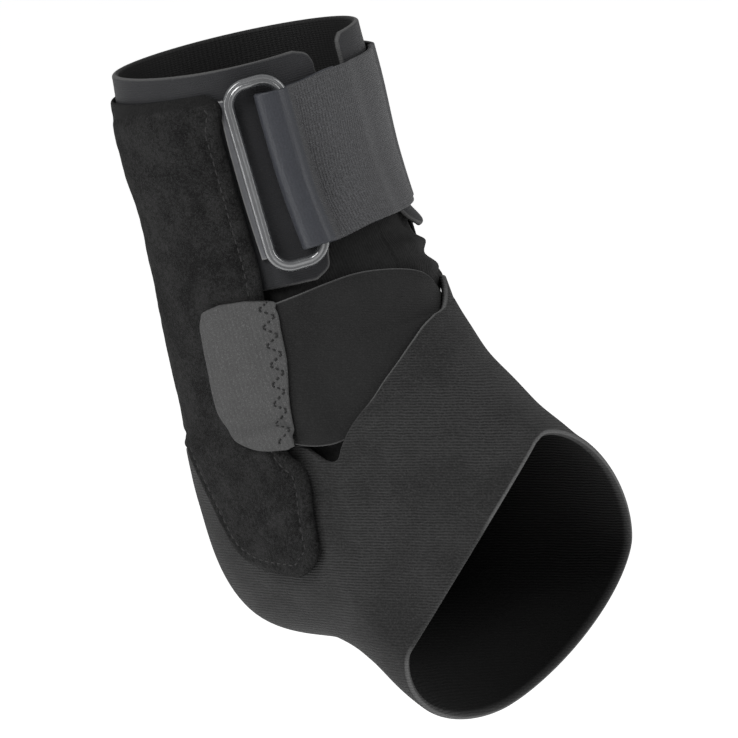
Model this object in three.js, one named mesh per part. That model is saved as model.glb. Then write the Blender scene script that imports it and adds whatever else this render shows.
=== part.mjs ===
// Ankle brace: a soft sleeve, leg cuff, straps, stay pads and a foot wrap, in the form they have when worn.
// Lengths are in millimetres and turns in degrees. +Z runs up the leg, +X points to the toes and -Y is the
// outer side of the ankle. The origin is the middle of the ankle. Places on the form are given by a turn
// round it and by down: 0 at its top, 1 at the bend line of the ankle and 2 at the toe opening.
import * as THREE from 'three';

// Form that the cloth lies on
const FORM_TOP = 124;             // height of the form's upper end
const LEG_RADIUS = 36;
const BEND_FORWARD = 104;         // the line in front of the ankle that the foot's sections fan about
const BEND_HEIGHT = 35;
const OPENING_LEAN = 66;          // lean of the toe opening's plane
const HEEL_REACH = 162;           // from the bend line to the heel
const INSTEP_REACH = 47.5;        // from the bend line to the instep
const OPENING_HALF_WIDTH = 48.5;

// Cloth walls, from the inside out, and the room between two of them
const LAYER_GAP = 0.4;
const SLEEVE_WALL = 1.4;
const CUFF_WALL = 2.0;
const ANKLE_STRAP_WALL = 1.4;
const FOOT_WALL = 2.2;
const PAD_EDGE_WALL = 1.3;        // pad at its hem and at the back
const PAD_STAY_WALL = 3.6;        // pad over the stay, and its tongue
const TAB_WALL = 1.1;
const STRAP_WALL = 1.3;

// Sleeve
const SLEEVE_TOP = 70;            // height of its upper edge
const SLEEVE_END = 1.44;          // its lower edge, inside the foot wrap, as a place down the form
const WRINKLE_RISE = 3.0;         // how far the front wrinkles stand out
const WRINKLE_SPREAD = 2.6;       // half height of one wrinkle
const WRINKLE_LIFT = 1.8;         // how much of a wrinkle's rise the strap over it takes up, and some room

// Cuff
const CUFF_TOP = FORM_TOP - 1.4;
const CUFF_RIM_DIP = 0.9;         // the rim is lower at two sides and higher between them
const CUFF_FLAP_LOW = 53.4;       // height of the near flap's lower edge
const CUFF_FLAP_RISE = 4.4;       // how much higher the far flap's is
const CUFF_UNDER_PAD = 2.8;       // turn from the pads' front edges to the cuff's, below the flaps
const EDGE_GAP = 1.0;             // between the cuff's lower edge and the foot wrap's upper edge

// Pads
const PAD_BACK_TURN = 179.6;      // the two pads meet at the back with a seam's width between them
const PAD_STEP_START = 8.2;       // length above the foot wrap's edge where the pad starts to rise over it
const PAD_STEP_END = 3.3;         // and where it has risen
const PAD_STEP_TURN = 6;          // turn behind the tongue over which it comes down again
const HEM_SLOPE = 6.4;            // length below the hem over which the pad reaches the stay's wall
const STAY_BACK_TURN = 112;       // the stay's wall ends here
const THIN_BACK_TURN = 130;       // and the back's thin wall starts here

// Calf strap and its ring
const STRAP_WIDTH = 49.5;
const STRAP_MIDDLE = 89.4;        // height of its middle line
const STRAP_END_TURN = -112;      // where its outer layer ends, on the hidden side
const STRAP_INNER_LENGTH = 22;    // inner layer, from the ring's bar to its end
const FOLD_REACH = 8.2;           // how far the fold stands past the bar
const FOLD_ROOM = 0.7;            // between the bar and the layer that lies over it
const STRAP_GAP = 0.6;            // between the strap and what it lies on
const STRAP_DROP = 1.6;           // how much lower the strap and ring lie than the strap's front
const STRAP_LEVEL_TURN = 4;       // from here on it lies level
const SETTLE_TURN = 13;           // turn over which it settles on the next layer
const SETTLE_MARGIN = 2.5;        // turn kept clear of that layer's edge
const STRAP_REST_CELLS = 13;      // cells along it from the fold to its end
const RING_TURN = 41.3;           // where the ring's middle lies
const RING_LENGTH = 59.5;
const RING_WIDTH = 20;
const RING_WIRE = 3.4;
const RING_CORNER = 8;            // outer corner radius
const RING_LOW_LIFT = 0.9;        // how much more it stands off below, where the leg widens
const KEEPER_WALL = 1.2;
const KEEPER_REACH = 4.6;         // from the ring's left bar to the keeper's outer edge
const KEEPER_TAPER = 1.4;         // turn by which the keeper is narrower below
const KEEPER_PAD_TURN = 0.9;      // turn kept between the keeper and the pad

// Ankle strap
const PAD_SEAM = 1.6;             // turn between a pad's front edge and the strap's end
const RAMP_TURN = 18;             // turn over which the strap rises to the pad

// Mesh fineness
const TURN_STEP = 9;
const RING_SIDES = 8;

// Leg sections. down: 0 at the form's top, 1 at the bend line. Radii are shares of LEG_RADIUS.
const LEG_SECTIONS = [
  { down: -0.112, front: 0.967, back: 0.978, near: 0.972, far: 0.967 },
  { down: 0.000, front: 0.967, back: 0.983, near: 0.972, far: 0.967 },
  { down: 0.225, front: 0.986, back: 1.022, near: 1.008, far: 0.986 },
  { down: 0.494, front: 1.014, back: 0.981, near: 0.978, far: 0.972 },
  { down: 0.742, front: 1.167, back: 0.989, near: 0.981, far: 0.958 },
  { down: 0.944, front: 1.306, back: 1.014, near: 1.000, far: 0.972 },
];

// Foot sections. down: 1 at the bend line, 2 at the toe opening. instep is a share of INSTEP_REACH, heel and
// middle of HEEL_REACH, the rest of OPENING_HALF_WIDTH. A round of 2 is an ellipse's quarter, 1 a straight
// side.
const FOOT_SECTIONS = [
  { down: 1.121, instep: 1.116, heel: 0.886, middle: 0.642, near: 0.742, far: 0.742, shift: 0.00,
    nearRound: 2.0, farRound: 2.0, heelRound: 2.0 },
  { down: 1.303, instep: 1.032, heel: 0.954, middle: 0.623, near: 0.753, far: 0.773, shift: 0.00,
    nearRound: 1.9, farRound: 1.9, heelRound: 2.1 },
  { down: 1.500, instep: 0.979, heel: 1.000, middle: 0.611, near: 0.763, far: 0.825, shift: 0.02,
    nearRound: 1.7, farRound: 1.8, heelRound: 2.15 },
  { down: 1.682, instep: 0.968, heel: 0.833, middle: 0.605, near: 0.804, far: 0.887, shift: 0.04,
    nearRound: 1.4, farRound: 1.65, heelRound: 2.1 },
  { down: 1.833, instep: 0.979, heel: 0.790, middle: 0.623, near: 0.876, far: 0.969, shift: 0.06,
    nearRound: 1.15, farRound: 1.55, heelRound: 1.95 },
  { down: 2.000, instep: 1.000, heel: 0.829, middle: 0.623, near: 0.990, far: 1.035, shift: 0.08,
    nearRound: 1.0, farRound: 1.42, heelRound: 1.72 },
  { down: 2.150, instep: 1.000, heel: 0.829, middle: 0.623, near: 0.990, far: 1.035, shift: 0.08,
    nearRound: 1.0, farRound: 1.42, heelRound: 1.72 },
];

// Cuff's front edges, from its rim down to the flaps' lower edge. drop: share of that height.
const CUFF_FRONT = [
  { drop: 0.000, near: 19.0, far: -11.5 },
  { drop: 0.022, near: 13.5, far: -8.6 },
  { drop: 0.055, near: 10.5, far: -7.5 },
  { drop: 0.110, near: 9.6, far: -7.4 },
  { drop: 0.300, near: 12.5, far: -8.0 },
  { drop: 0.520, near: 18.0, far: -11.0 },
  { drop: 0.740, near: 24.5, far: -16.0 },
  { drop: 0.900, near: 29.5, far: -21.0 },
  { drop: 0.965, near: 32.5, far: -24.5 },
  { drop: 1.000, near: 38.0, far: -30.0 },
];

// Outline of the near pad: its front and back edges. The body ends at the back seam, the tongue runs on.
const PAD_BODY = [
  { down: 0.098, front: 61.5 },
  { down: 0.112, front: 58.8 },
  { down: 0.240, front: 57.8 },
  { down: 0.400, front: 57.4 },
  { down: 0.560, front: 57.8 },
  { down: 0.700, front: 58.4 },
  { down: 0.822, front: 60.0 },
  { down: 0.950, front: 62.5 },
  { down: 1.060, front: 64.6 },
  { down: 1.140, front: 67.0 },
  { down: 1.190, front: 68.8 },
];
const PAD_TONGUE = [
  { down: 1.215, front: 69.6, back: 116.4 },
  { down: 1.262, front: 71.0, back: 114.5 },
  { down: 1.310, front: 71.6, back: 113.2 },
  { down: 1.370, front: 69.8, back: 112.6 },
  { down: 1.430, front: 71.6, back: 112.0 },
  { down: 1.490, front: 75.6, back: 108.4 },
  { down: 1.540, front: 79.2, back: 104.0 },
  { down: 1.575, front: 82.4, back: 100.6 },
  { down: 1.600, front: 86.0, back: 97.0 },
];

// Foot wrap's upper edge, once round the ankle
const FOOT_EDGE = [
  { turn: -38, down: 0.936 },
  { turn: -29, down: 0.958 },
  { turn: -20, down: 0.986 },
  { turn: -8, down: 1.025 },
  { turn: 4, down: 1.066 },
  { turn: 13, down: 1.125 },
  { turn: 22.5, down: 1.188 },
  { turn: 31, down: 1.238 },
  { turn: 38.5, down: 1.284 },
  { turn: 45.3, down: 1.314 },
  { turn: 52, down: 1.350 },
  { turn: 56.5, down: 1.382 },
  { turn: 60.5, down: 1.412 },
  { turn: 63.9, down: 1.387 },
  { turn: 66.5, down: 1.322 },
  { turn: 73, down: 1.300 },
  { turn: 86, down: 1.280 },
  { turn: 100, down: 1.256 },
  { turn: 115, down: 1.232 },
  { turn: 130, down: 1.212 },
  { turn: 180, down: 1.206 },
  { turn: 230, down: 1.216 },
  { turn: 250, down: 1.226 },
  { turn: 275, down: 1.232 },
  { turn: 295, down: 1.225 },
  { turn: 304, down: 1.170 },
  { turn: 311, down: 1.020 },
  { turn: 317, down: 0.950 },
  { turn: 322, down: 0.936 },
];

// Ankle strap's two edges, from its end under the tab to its end on the hidden side. along: share of its
// length.
const ANKLE_STRAP_EDGES = [
  { along: 0.00, top: 0.845, low: 1.300 },
  { along: 0.07, top: 0.833, low: 1.345 },
  { along: 0.19, top: 0.813, low: 1.354 },
  { along: 0.30, top: 0.806, low: 1.375 },
  { along: 0.43, top: 0.825, low: 1.375 },
  { along: 0.58, top: 0.880, low: 1.345 },
  { along: 0.72, top: 0.960, low: 1.320 },
  { along: 0.86, top: 1.040, low: 1.320 },
  { along: 1.00, top: 1.110, low: 1.320 },
];
const ANKLE_STRAP_START = [
  { down: 0.80, turn: 59.2 },
  { down: 0.95, turn: 61.2 },
  { down: 1.06, turn: 63.4 },
  { down: 1.19, turn: 67.6 },
  { down: 1.32, turn: 70.4 },
];

// Front wrinkles of the sleeve: soft folds between the calf strap and the ankle strap. height: at the hidden
// side. climb: how much higher each is in front. Both are shares of CUFF_FLAP_LOW; rise is of WRINKLE_RISE.
const WRINKLES = [
  { height: 0.966, climb: 0.090, rise: 0.80 },
  { height: 0.836, climb: 0.108, rise: 1.00 },
];
const WRINKLE_TURNS = { nearEnd: 12, nearFull: -22, farFull: -48, farEnd: -58 };
const WRINKLES_LOW = 0.80;        // share of CUFF_FLAP_LOW where the last one has run out

// Hook tab's outline
const TAB_EDGES = [
  { down: 0.812, front: 66.0, back: 76.5 },
  { down: 0.828, front: 57.5, back: 82.4 },
  { down: 0.862, front: 55.8, back: 85.6 },
  { down: 0.930, front: 56.2, back: 87.0 },
  { down: 1.010, front: 57.2, back: 87.6 },
  { down: 1.080, front: 58.9, back: 88.4 },
  { down: 1.150, front: 61.2, back: 88.8 },
  { down: 1.195, front: 62.8, back: 87.0 },
  { down: 1.240, front: 64.4, back: 83.2 },
  { down: 1.275, front: 65.7, back: 77.8 },
  { down: 1.306, front: 66.8, back: 69.5 },
];

// Centre line of the calf strap where it comes down from the ring. along: in front of the bar, as shares of
// FOLD_REACH. lift: share of the way up from the layer on the cuff to the layer over the bar.
const STRAP_FALL = [
  { along: 0.30, lift: 1.00 },
  { along: 0.75, lift: 0.80 },
  { along: 1.20, lift: 0.45 },
  { along: 1.70, lift: 0.22 },
  { along: 2.40, lift: 0.12 },
];

// Colours by eye
const COLOURS = {
  inner_sleeve: 0x1a1a1c,
  leg_cuff: 0x232428,
  foot_wrap: 0x363636,
  ankle_strap: 0x29292b,
  lateral_pad: 0x1e1e20,
  medial_pad: 0x1e1e20,
  ring: 0x2c2d30,
  ring_keeper: 0x3a3b3e,
  calf_strap: 0x47484b,
  hook_tab: 0x505052,
};

const radians = THREE.MathUtils.degToRad;
const lerp = THREE.MathUtils.lerp;
const clamp = THREE.MathUtils.clamp;
const smooth = (x, from, to) => THREE.MathUtils.smoothstep((x - from) / (to - from), 0, 1);

// Lengths of the form between down 0 and 1, and between 1 and 2, at a middle radius of the fan
const LEG_RUN = FORM_TOP - BEND_HEIGHT;
const FAN_MIDDLE = 0.45;          // that radius, as a share of the heel's and the instep's reach together
const FAN_RUN = radians(OPENING_LEAN) * FAN_MIDDLE * (HEEL_REACH + INSTEP_REACH);
const runAt = (down) => (down < 1 ? down * LEG_RUN : LEG_RUN + (down - 1) * FAN_RUN);
const downAtHeight = (height) => (FORM_TOP - height) / LEG_RUN;

// Smooth curve through the rows of a table, one column at a time
function follow(rows, key, column, at) {
  const last = rows.length - 1;
  let i = 0;
  while (i < last - 1 && rows[i + 1][key] < at) i += 1;
  const slope = (k) => (rows[k + 1][column] - rows[k][column]) / (rows[k + 1][key] - rows[k][key]);
  const tangent = (k) => {
    if (k === 0) return slope(0);
    if (k === last) return slope(last - 1);
    const before = rows[k][key] - rows[k - 1][key];
    const after = rows[k + 1][key] - rows[k][key];
    return (slope(k) * before + slope(k - 1) * after) / (before + after);
  };
  const span = rows[i + 1][key] - rows[i][key];
  const s = clamp((at - rows[i][key]) / span, 0, 1);
  const s2 = s * s;
  const s3 = s2 * s;
  return (2 * s3 - 3 * s2 + 1) * rows[i][column] + (s3 - 2 * s2 + s) * span * tangent(i)
    + (3 * s2 - 2 * s3) * rows[i + 1][column] + (s3 - s2) * span * tangent(i + 1);
}

// Straight steps between the rows of a table
function between(rows, key, column, at) {
  let i = 0;
  while (i < rows.length - 2 && rows[i + 1][key] < at) i += 1;
  const s = clamp((at - rows[i][key]) / (rows[i + 1][key] - rows[i][key]), 0, 1);
  return lerp(rows[i][column], rows[i + 1][column], s);
}

// All sections in lengths, with the leg's radii measured from the bend line as the foot's are
const SECTIONS = [
  ...LEG_SECTIONS.map((row) => ({
    run: runAt(row.down),
    lean: 0,
    instep: BEND_FORWARD - row.front * LEG_RADIUS,
    heel: BEND_FORWARD + row.back * LEG_RADIUS,
    middle: BEND_FORWARD,
    near: row.near * LEG_RADIUS,
    far: row.far * LEG_RADIUS,
    shift: 0,
    nearRound: 2,
    farRound: 2,
    heelRound: 2,
  })),
  ...FOOT_SECTIONS.map((row) => ({
    run: runAt(row.down),
    lean: (row.down - 1) * OPENING_LEAN,
    instep: row.instep * INSTEP_REACH,
    heel: row.heel * HEEL_REACH,
    middle: row.middle * HEEL_REACH,
    near: row.near * OPENING_HALF_WIDTH,
    far: row.far * OPENING_HALF_WIDTH,
    shift: row.shift * OPENING_HALF_WIDTH,
    nearRound: row.nearRound,
    farRound: row.farRound,
    heelRound: row.heelRound,
  })),
];
const COLUMNS = Object.keys(SECTIONS[0]).filter((name) => name !== 'run');

// Point of the bare form. turn: 0 at the front, 90 on the near side, 180 at the back.
function formPoint(turn, down) {
  const run = runAt(down);
  const at = {};
  for (const name of COLUMNS) at[name] = follow(SECTIONS, 'run', name, run);
  const c = Math.cos(radians(turn));
  const s = Math.sin(radians(turn));
  let round = at.heelRound;
  if (c >= 0) round = s >= 0 ? at.nearRound : at.farRound;
  const bulge = (x) => Math.sign(x) * Math.abs(x) ** (2 / round);
  const reach = at.middle - bulge(c) * (c >= 0 ? at.middle - at.instep : at.heel - at.middle);
  const side = at.shift - bulge(s) * (s >= 0 ? at.near : at.far);
  const lean = radians(at.lean);
  const height = down < 1 ? FORM_TOP - run : BEND_HEIGHT;
  return new THREE.Vector3(BEND_FORWARD - reach * Math.cos(lean), side, height - reach * Math.sin(lean));
}

const PROBE_TURN = 1.5;           // steps for the slope of the form
const PROBE_DOWN = 0.008;

// Point at a distance outside the bare form
function skin(turn, down, offset) {
  const across = formPoint(turn + PROBE_TURN, down).sub(formPoint(turn - PROBE_TURN, down));
  const along = formPoint(turn, down + PROBE_DOWN).sub(formPoint(turn, down - PROBE_DOWN));
  const normal = across.cross(along).normalize();
  return formPoint(turn, down).addScaledVector(normal, offset);
}

// Closed solid between an outer and an inner grid of points. Rows run down and columns run with the turn.
// A ring's last column joins its first one. filled says which cells of the grid are cloth.
function shell(outer, inner, { ring = false, filled = () => true } = {}) {
  const rows = outer.length;
  const cols = outer[0].length;
  const cellRows = rows - 1;
  const cellCols = ring ? cols : cols - 1;
  const positions = [];
  for (const grid of [outer, inner]) {
    for (const row of grid) {
      for (const point of row) positions.push(point.x, point.y, point.z);
    }
  }
  const index = [];
  const quad = (a, b, c, d) => index.push(a, b, c, a, c, d);
  const over = (j, i) => j * cols + (i % cols);
  const under = (j, i) => rows * cols + over(j, i);
  const wall = (j, i, m, k) => quad(over(j, i), under(j, i), under(m, k), over(m, k));
  const has = (j, i) => {
    if (j < 0 || j >= cellRows) return false;
    if (!ring && (i < 0 || i >= cellCols)) return false;
    return filled(j, (i + cellCols) % cellCols);
  };
  for (let j = 0; j < cellRows; j += 1) {
    for (let i = 0; i < cellCols; i += 1) {
      if (has(j, i)) {
        quad(over(j, i), over(j, i + 1), over(j + 1, i + 1), over(j + 1, i));
        quad(under(j, i), under(j + 1, i), under(j + 1, i + 1), under(j, i + 1));
        if (!has(j - 1, i)) wall(j, i, j, i + 1);
        if (!has(j + 1, i)) wall(j + 1, i + 1, j + 1, i);
        if (!has(j, i - 1)) wall(j + 1, i, j, i);
        if (!has(j, i + 1)) wall(j, i + 1, j + 1, i + 1);
      }
    }
  }
  const used = [...new Set(index)].sort((m, n) => m - n);
  const order = new Map(used.map((id, k) => [id, k]));
  const kept = used.flatMap((id) => positions.slice(3 * id, 3 * id + 3));
  const geometry = new THREE.BufferGeometry();
  geometry.setAttribute('position', new THREE.Float32BufferAttribute(kept, 3));
  geometry.setIndex(index.map((id) => order.get(id)));
  geometry.computeVertexNormals();
  return geometry;
}

// Cloth on the form. places: rows of { turn, down }. under and over give the wall's two faces there.
function cloth(places, under, over, options) {
  const lay = (face) => places.map((row) => row.map(({ turn, down }) => skin(turn, down, face(turn, down))));
  return shell(lay(over), lay(under), options);
}

// Even steps from one value to another
function steps(from, to, count) {
  return Array.from({ length: count + 1 }, (_, i) => lerp(from, to, i / count));
}

// Offsets of the layers' faces from the form
const SLEEVE_OUT = SLEEVE_WALL;
const CUFF_IN = SLEEVE_OUT + LAYER_GAP;
const CUFF_OUT = CUFF_IN + CUFF_WALL;
const PAD_IN = CUFF_OUT + LAYER_GAP;
const ANKLE_STRAP_OUT = CUFF_IN + ANKLE_STRAP_WALL;
const FOOT_IN = ANKLE_STRAP_OUT + LAYER_GAP;
const FOOT_OUT = FOOT_IN + FOOT_WALL;
const TONGUE_IN = FOOT_OUT + LAYER_GAP;

const footEdge = (turn) => {
  const first = FOOT_EDGE[0].turn;
  const wrapped = ((turn - first) % 360 + 360) % 360 + first;
  return between(FOOT_EDGE, 'turn', 'down', wrapped);
};

function wrinkle(turn, down) {
  const height = FORM_TOP - runAt(down);
  const { nearEnd, nearFull, farFull, farEnd } = WRINKLE_TURNS;
  const front = smooth(turn, nearEnd, nearFull) * smooth(turn, farEnd, farFull);
  let rise = 0;
  for (const fold of WRINKLES) {
    const climb = fold.climb * (1 - turn / farFull);
    const middle = CUFF_FLAP_LOW * (fold.height + climb);
    const away = (height - middle) / WRINKLE_SPREAD;
    rise += fold.rise * WRINKLE_RISE * Math.exp(-away * away);
  }
  return rise * front;
}

// Turn in -180 to 180
const centred = (turn) => ((turn + 180) % 360 + 360) % 360 - 180;

const sleeveOver = (turn, down) => SLEEVE_OUT + wrinkle(centred(turn), down);

function innerSleeve() {
  const folded = downAtHeight(CUFF_FLAP_LOW * WRINKLES_LOW);
  const downs = [...steps(downAtHeight(SLEEVE_TOP), folded, 9), ...steps(folded, SLEEVE_END, 10).slice(1)];
  const turns = steps(0, 360, 360 / TURN_STEP).slice(0, -1);
  const places = downs.map((down) => turns.map((turn) => ({ turn, down })));
  const under = (turn, down) => sleeveOver(turn, down) - SLEEVE_WALL;
  return cloth(places, under, sleeveOver, { ring: true });
}

const RIM_DIP_TURN = 45;          // the cuff's rim is a little lower here and at the turn across from it
const rimDip = (turn) => CUFF_RIM_DIP * Math.cos(radians(2 * (turn - RIM_DIP_TURN)));

const padFront = (down) => between([...PAD_BODY, ...PAD_TONGUE], 'down', 'front', down);

// Lower edge of the flaps: a little higher on the far side
const FLAP_CLIMB = { from: 120, to: 300 };
const flapLow = (turn) => CUFF_FLAP_LOW + CUFF_FLAP_RISE * smooth(turn, FLAP_CLIMB.from, FLAP_CLIMB.to);

// Two flaps in front, joined round the back, where the cuff also runs on down under the pads
function legCuff() {
  const flapCells = 5;
  const backCells = 26;
  const across = (near, inside, far) => [
    ...steps(near, inside, flapCells),
    ...steps(inside, 360 - inside, backCells).slice(1),
    ...steps(360 - inside, 360 + far, flapCells).slice(1),
  ];
  const split = (downAtTurn) => padFront(downAtTurn(PAD_BODY[0].front)) + CUFF_UNDER_PAD;
  const places = CUFF_FRONT.map(({ drop, near, far }) => {
    const height = (turn) => lerp(CUFF_TOP - rimDip(turn), flapLow(turn), drop);
    const inside = split((turn) => downAtHeight(height(turn)));
    return across(near, inside, far).map((turn) => ({ turn, down: downAtHeight(height(turn)) }));
  });
  const foot = (turn) => footEdge(turn) - EDGE_GAP / FAN_RUN;
  for (const share of steps(0, 1, 6).slice(1)) {
    const down = (turn) => lerp(downAtHeight(flapLow(turn)), foot(turn), share);
    const inside = split(down);
    const { near, far } = CUFF_FRONT[CUFF_FRONT.length - 1];
    places.push(across(near, inside, far).map((turn) => ({ turn, down: down(turn) })));
  }
  const flapRows = CUFF_FRONT.length - 1;
  const filled = (j, i) => j < flapRows || (i >= flapCells && i < flapCells + backCells);
  return cloth(places, () => CUFF_IN, () => CUFF_OUT, { filled });
}

const ROW_CROWDING = 1.25;        // above 1, the foot wrap's rows lie closer together towards the toes

function footWrap() {
  const turns = [];
  FOOT_EDGE.forEach((row, i) => {
    const next = FOOT_EDGE[i + 1];
    if (!next) return;
    const count = Math.max(1, Math.round((next.turn - row.turn) / TURN_STEP));
    turns.push(...steps(row.turn, next.turn, count).slice(0, -1));
  });
  const shares = steps(0, 1, 10).map((share) => 1 - (1 - share) ** ROW_CROWDING);
  const places = shares.map((share) => turns.map((turn) => ({ turn, down: lerp(footEdge(turn), 2, share) })));
  return cloth(places, () => FOOT_IN, () => FOOT_OUT, { ring: true });
}

// Pad: thin at the hem and the back, thick over the stay and the tongue. It steps up over the foot wrap's
// edge.
const nearTurn = (turn) => Math.abs(centred(turn));

function padUnder(turn, down) {
  const above = (footEdge(turn) - down) * FAN_RUN;
  const back = PAD_TONGUE[0].back;
  const risen = smooth(above, PAD_STEP_START, PAD_STEP_END);
  const beside = smooth(nearTurn(turn), back + PAD_STEP_TURN, back);
  return lerp(PAD_IN, TONGUE_IN, risen * beside);
}

function padWall(turn, down) {
  const belowHem = (down - PAD_BODY[0].down) * LEG_RUN;
  const stay = smooth(nearTurn(turn), THIN_BACK_TURN, STAY_BACK_TURN) * smooth(belowHem, 0, HEM_SLOPE);
  return lerp(PAD_EDGE_WALL, PAD_STAY_WALL, stay);
}

const padOver = (turn, down) => padUnder(turn, down) + padWall(turn, down);

// side: 1 for the near pad, -1 for the far one, which is its mirror image round the leg
function pad(side) {
  const tongueCells = 7;
  const backCells = 7;
  const root = PAD_TONGUE[0].back;
  const across = (front, back) => [
    ...steps(front, back, tongueCells),
    ...steps(back, PAD_BACK_TURN, backCells).slice(1),
  ];
  const row = (down, front, back) => across(front, back).map((turn) => ({ turn: side * turn, down }));
  const body = PAD_BODY.map(({ down, front }) => row(down, front, root));
  const tongue = PAD_TONGUE.map(({ down, front, back }) => row(down, front, back));
  const places = [...body, ...tongue];
  if (side < 0) places.forEach((points) => points.reverse());
  const filled = (j, i) => j < body.length - 1 || (side > 0 ? i < tongueCells : i >= backCells);
  return cloth(places, padUnder, padOver, { filled });
}

// Ankle strap: it runs from pad to pad and rises to the near pad's outer face
const ankleStrapStart = (down) => between(ANKLE_STRAP_START, 'down', 'turn', down) - PAD_SEAM;
const ankleStrapEnd = (down) => PAD_SEAM - padFront(down);

function ankleStrapUnder(turn, down) {
  const start = ankleStrapStart(down);
  const low = SLEEVE_OUT + LAYER_GAP + WRINKLE_LIFT * wrinkle(turn, down);
  const high = PAD_IN + PAD_STAY_WALL - ANKLE_STRAP_WALL;
  return lerp(low, high, smooth(turn, start - RAMP_TURN, start - PAD_SEAM));
}

function ankleStrap() {
  const alongs = ANKLE_STRAP_EDGES.flatMap(({ along }, i, rows) => (
    i ? [(rows[i - 1].along + along) / 2, along] : [along]
  ));
  const places = steps(0, 1, 9).map((share) => alongs.map((along) => {
    const top = follow(ANKLE_STRAP_EDGES, 'along', 'top', along);
    const low = follow(ANKLE_STRAP_EDGES, 'along', 'low', along);
    const down = lerp(top, low, share);
    return { turn: lerp(ankleStrapStart(down), ankleStrapEnd(down), along), down };
  }).reverse());
  const over = (turn, down) => ankleStrapUnder(turn, down) + ANKLE_STRAP_WALL;
  return cloth(places, ankleStrapUnder, over);
}

function hookTab() {
  const under = (turn, down) => PAD_IN + PAD_STAY_WALL + LAYER_GAP + tabStep(turn, down);
  const over = (turn, down) => under(turn, down) + TAB_WALL;
  const places = TAB_EDGES.map(({ down, front, back }) => (
    steps(front, back, 7).map((turn) => ({ turn, down }))
  ));
  return cloth(places, under, over);
}

// The tab follows the pad where it steps up over the foot wrap
const TAB_LEAD = 0.025;
const tabStep = (turn, down) => Math.max(0, padOver(turn, down + TAB_LEAD) - PAD_IN - PAD_STAY_WALL);

// Ring: a round wire bent to an oblong, standing just off the cuff
function ringFrame() {
  const lift = CUFF_OUT + KEEPER_WALL + LAYER_GAP + RING_WIRE / 2;
  const half = RING_LENGTH / 2 - RING_WIRE;
  const top = skin(RING_TURN, downAtHeight(STRAP_MIDDLE - STRAP_DROP + half), lift);
  const low = skin(RING_TURN, downAtHeight(STRAP_MIDDLE - STRAP_DROP - half), lift + RING_LOW_LIFT);
  const up = top.clone().sub(low).normalize();
  const out = new THREE.Vector3(Math.cos(radians(RING_TURN)), -Math.sin(radians(RING_TURN)), 0);
  const back = out.clone().cross(up).normalize();
  const face = up.clone().cross(back).normalize();
  return { middle: top.add(low).multiplyScalar(0.5), up, back, face };
}

function ring() {
  const { middle, up, back, face } = ringFrame();
  const corner = RING_CORNER - RING_WIRE / 2;
  const wide = RING_WIDTH / 2 - RING_CORNER;
  const tall = RING_LENGTH / 2 - RING_CORNER;
  const centres = [[wide, tall], [-wide, tall], [-wide, -tall], [wide, -tall]];
  const path = [];
  centres.forEach(([x, y], k) => {
    for (const angle of steps(k * 90, k * 90 + 90, 6)) {
      const a = radians(angle);
      path.push({ x: x + corner * Math.cos(a), y: y + corner * Math.sin(a), a });
    }
  });
  const positions = [];
  const index = [];
  path.forEach(({ x, y, a }) => {
    for (let k = 0; k < RING_SIDES; k += 1) {
      const b = (2 * Math.PI * k) / RING_SIDES;
      const reach = (RING_WIRE / 2) * Math.cos(b);
      const point = middle.clone()
        .addScaledVector(back, x + reach * Math.cos(a))
        .addScaledVector(up, y + reach * Math.sin(a))
        .addScaledVector(face, (RING_WIRE / 2) * Math.sin(b));
      positions.push(point.x, point.y, point.z);
    }
  });
  for (let i = 0; i < path.length; i += 1) {
    const here = i * RING_SIDES;
    const next = ((i + 1) % path.length) * RING_SIDES;
    for (let k = 0; k < RING_SIDES; k += 1) {
      const m = (k + 1) % RING_SIDES;
      index.push(here + k, next + m, next + k, here + k, here + m, next + m);
    }
  }
  const geometry = new THREE.BufferGeometry();
  geometry.setAttribute('position', new THREE.Float32BufferAttribute(positions, 3));
  geometry.setIndex(index);
  geometry.computeVertexNormals();
  return geometry;
}

// Turn that lies a length along the leg's outside from the ring's middle. Positive is towards the back.
const degreesPerLength = 180 / Math.PI / (LEG_RADIUS + CUFF_OUT + RING_WIRE);
const turnFromRing = (length) => RING_TURN + length * degreesPerLength;
const BAR_FROM_MIDDLE = (RING_WIDTH - RING_WIRE) / 2;

function ringKeeper() {
  const from = turnFromRing(RING_WIRE / 2);
  const to = turnFromRing(BAR_FROM_MIDDLE + KEEPER_REACH);
  const half = STRAP_WIDTH / 2;
  const middle = STRAP_MIDDLE - STRAP_DROP;
  const downs = steps(downAtHeight(middle + half), downAtHeight(middle - half), 6);
  const places = downs.map((down, j) => {
    const edge = Math.min(lerp(to, to - KEEPER_TAPER, j / 6), padFront(down) - KEEPER_PAD_TURN);
    return steps(from, edge, 3).map((turn) => ({ turn, down }));
  });
  const under = CUFF_OUT + LAYER_GAP;
  return cloth(places, () => under, () => under + KEEPER_WALL);
}

// Where the ring's front bar passes a height: its turn and its middle's lift off the form
function barPlace(height) {
  const { middle, up, back } = ringFrame();
  const level = (height - middle.z) / up.z;
  const point = middle.addScaledVector(up, level).addScaledVector(back, -BAR_FROM_MIDDLE);
  const turn = THREE.MathUtils.radToDeg(Math.atan2(-point.y, point.x));
  const bare = formPoint(turn, downAtHeight(height));
  return { turn, lift: Math.hypot(point.x, point.y) - Math.hypot(bare.x, bare.y) };
}

// Centre line of the calf strap at a height: an inner layer on the cuff, a loose fold round the ring's front
// bar and an outer layer that runs over the front and the far pad
const STRAP_HALF = STRAP_WALL / 2;

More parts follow.
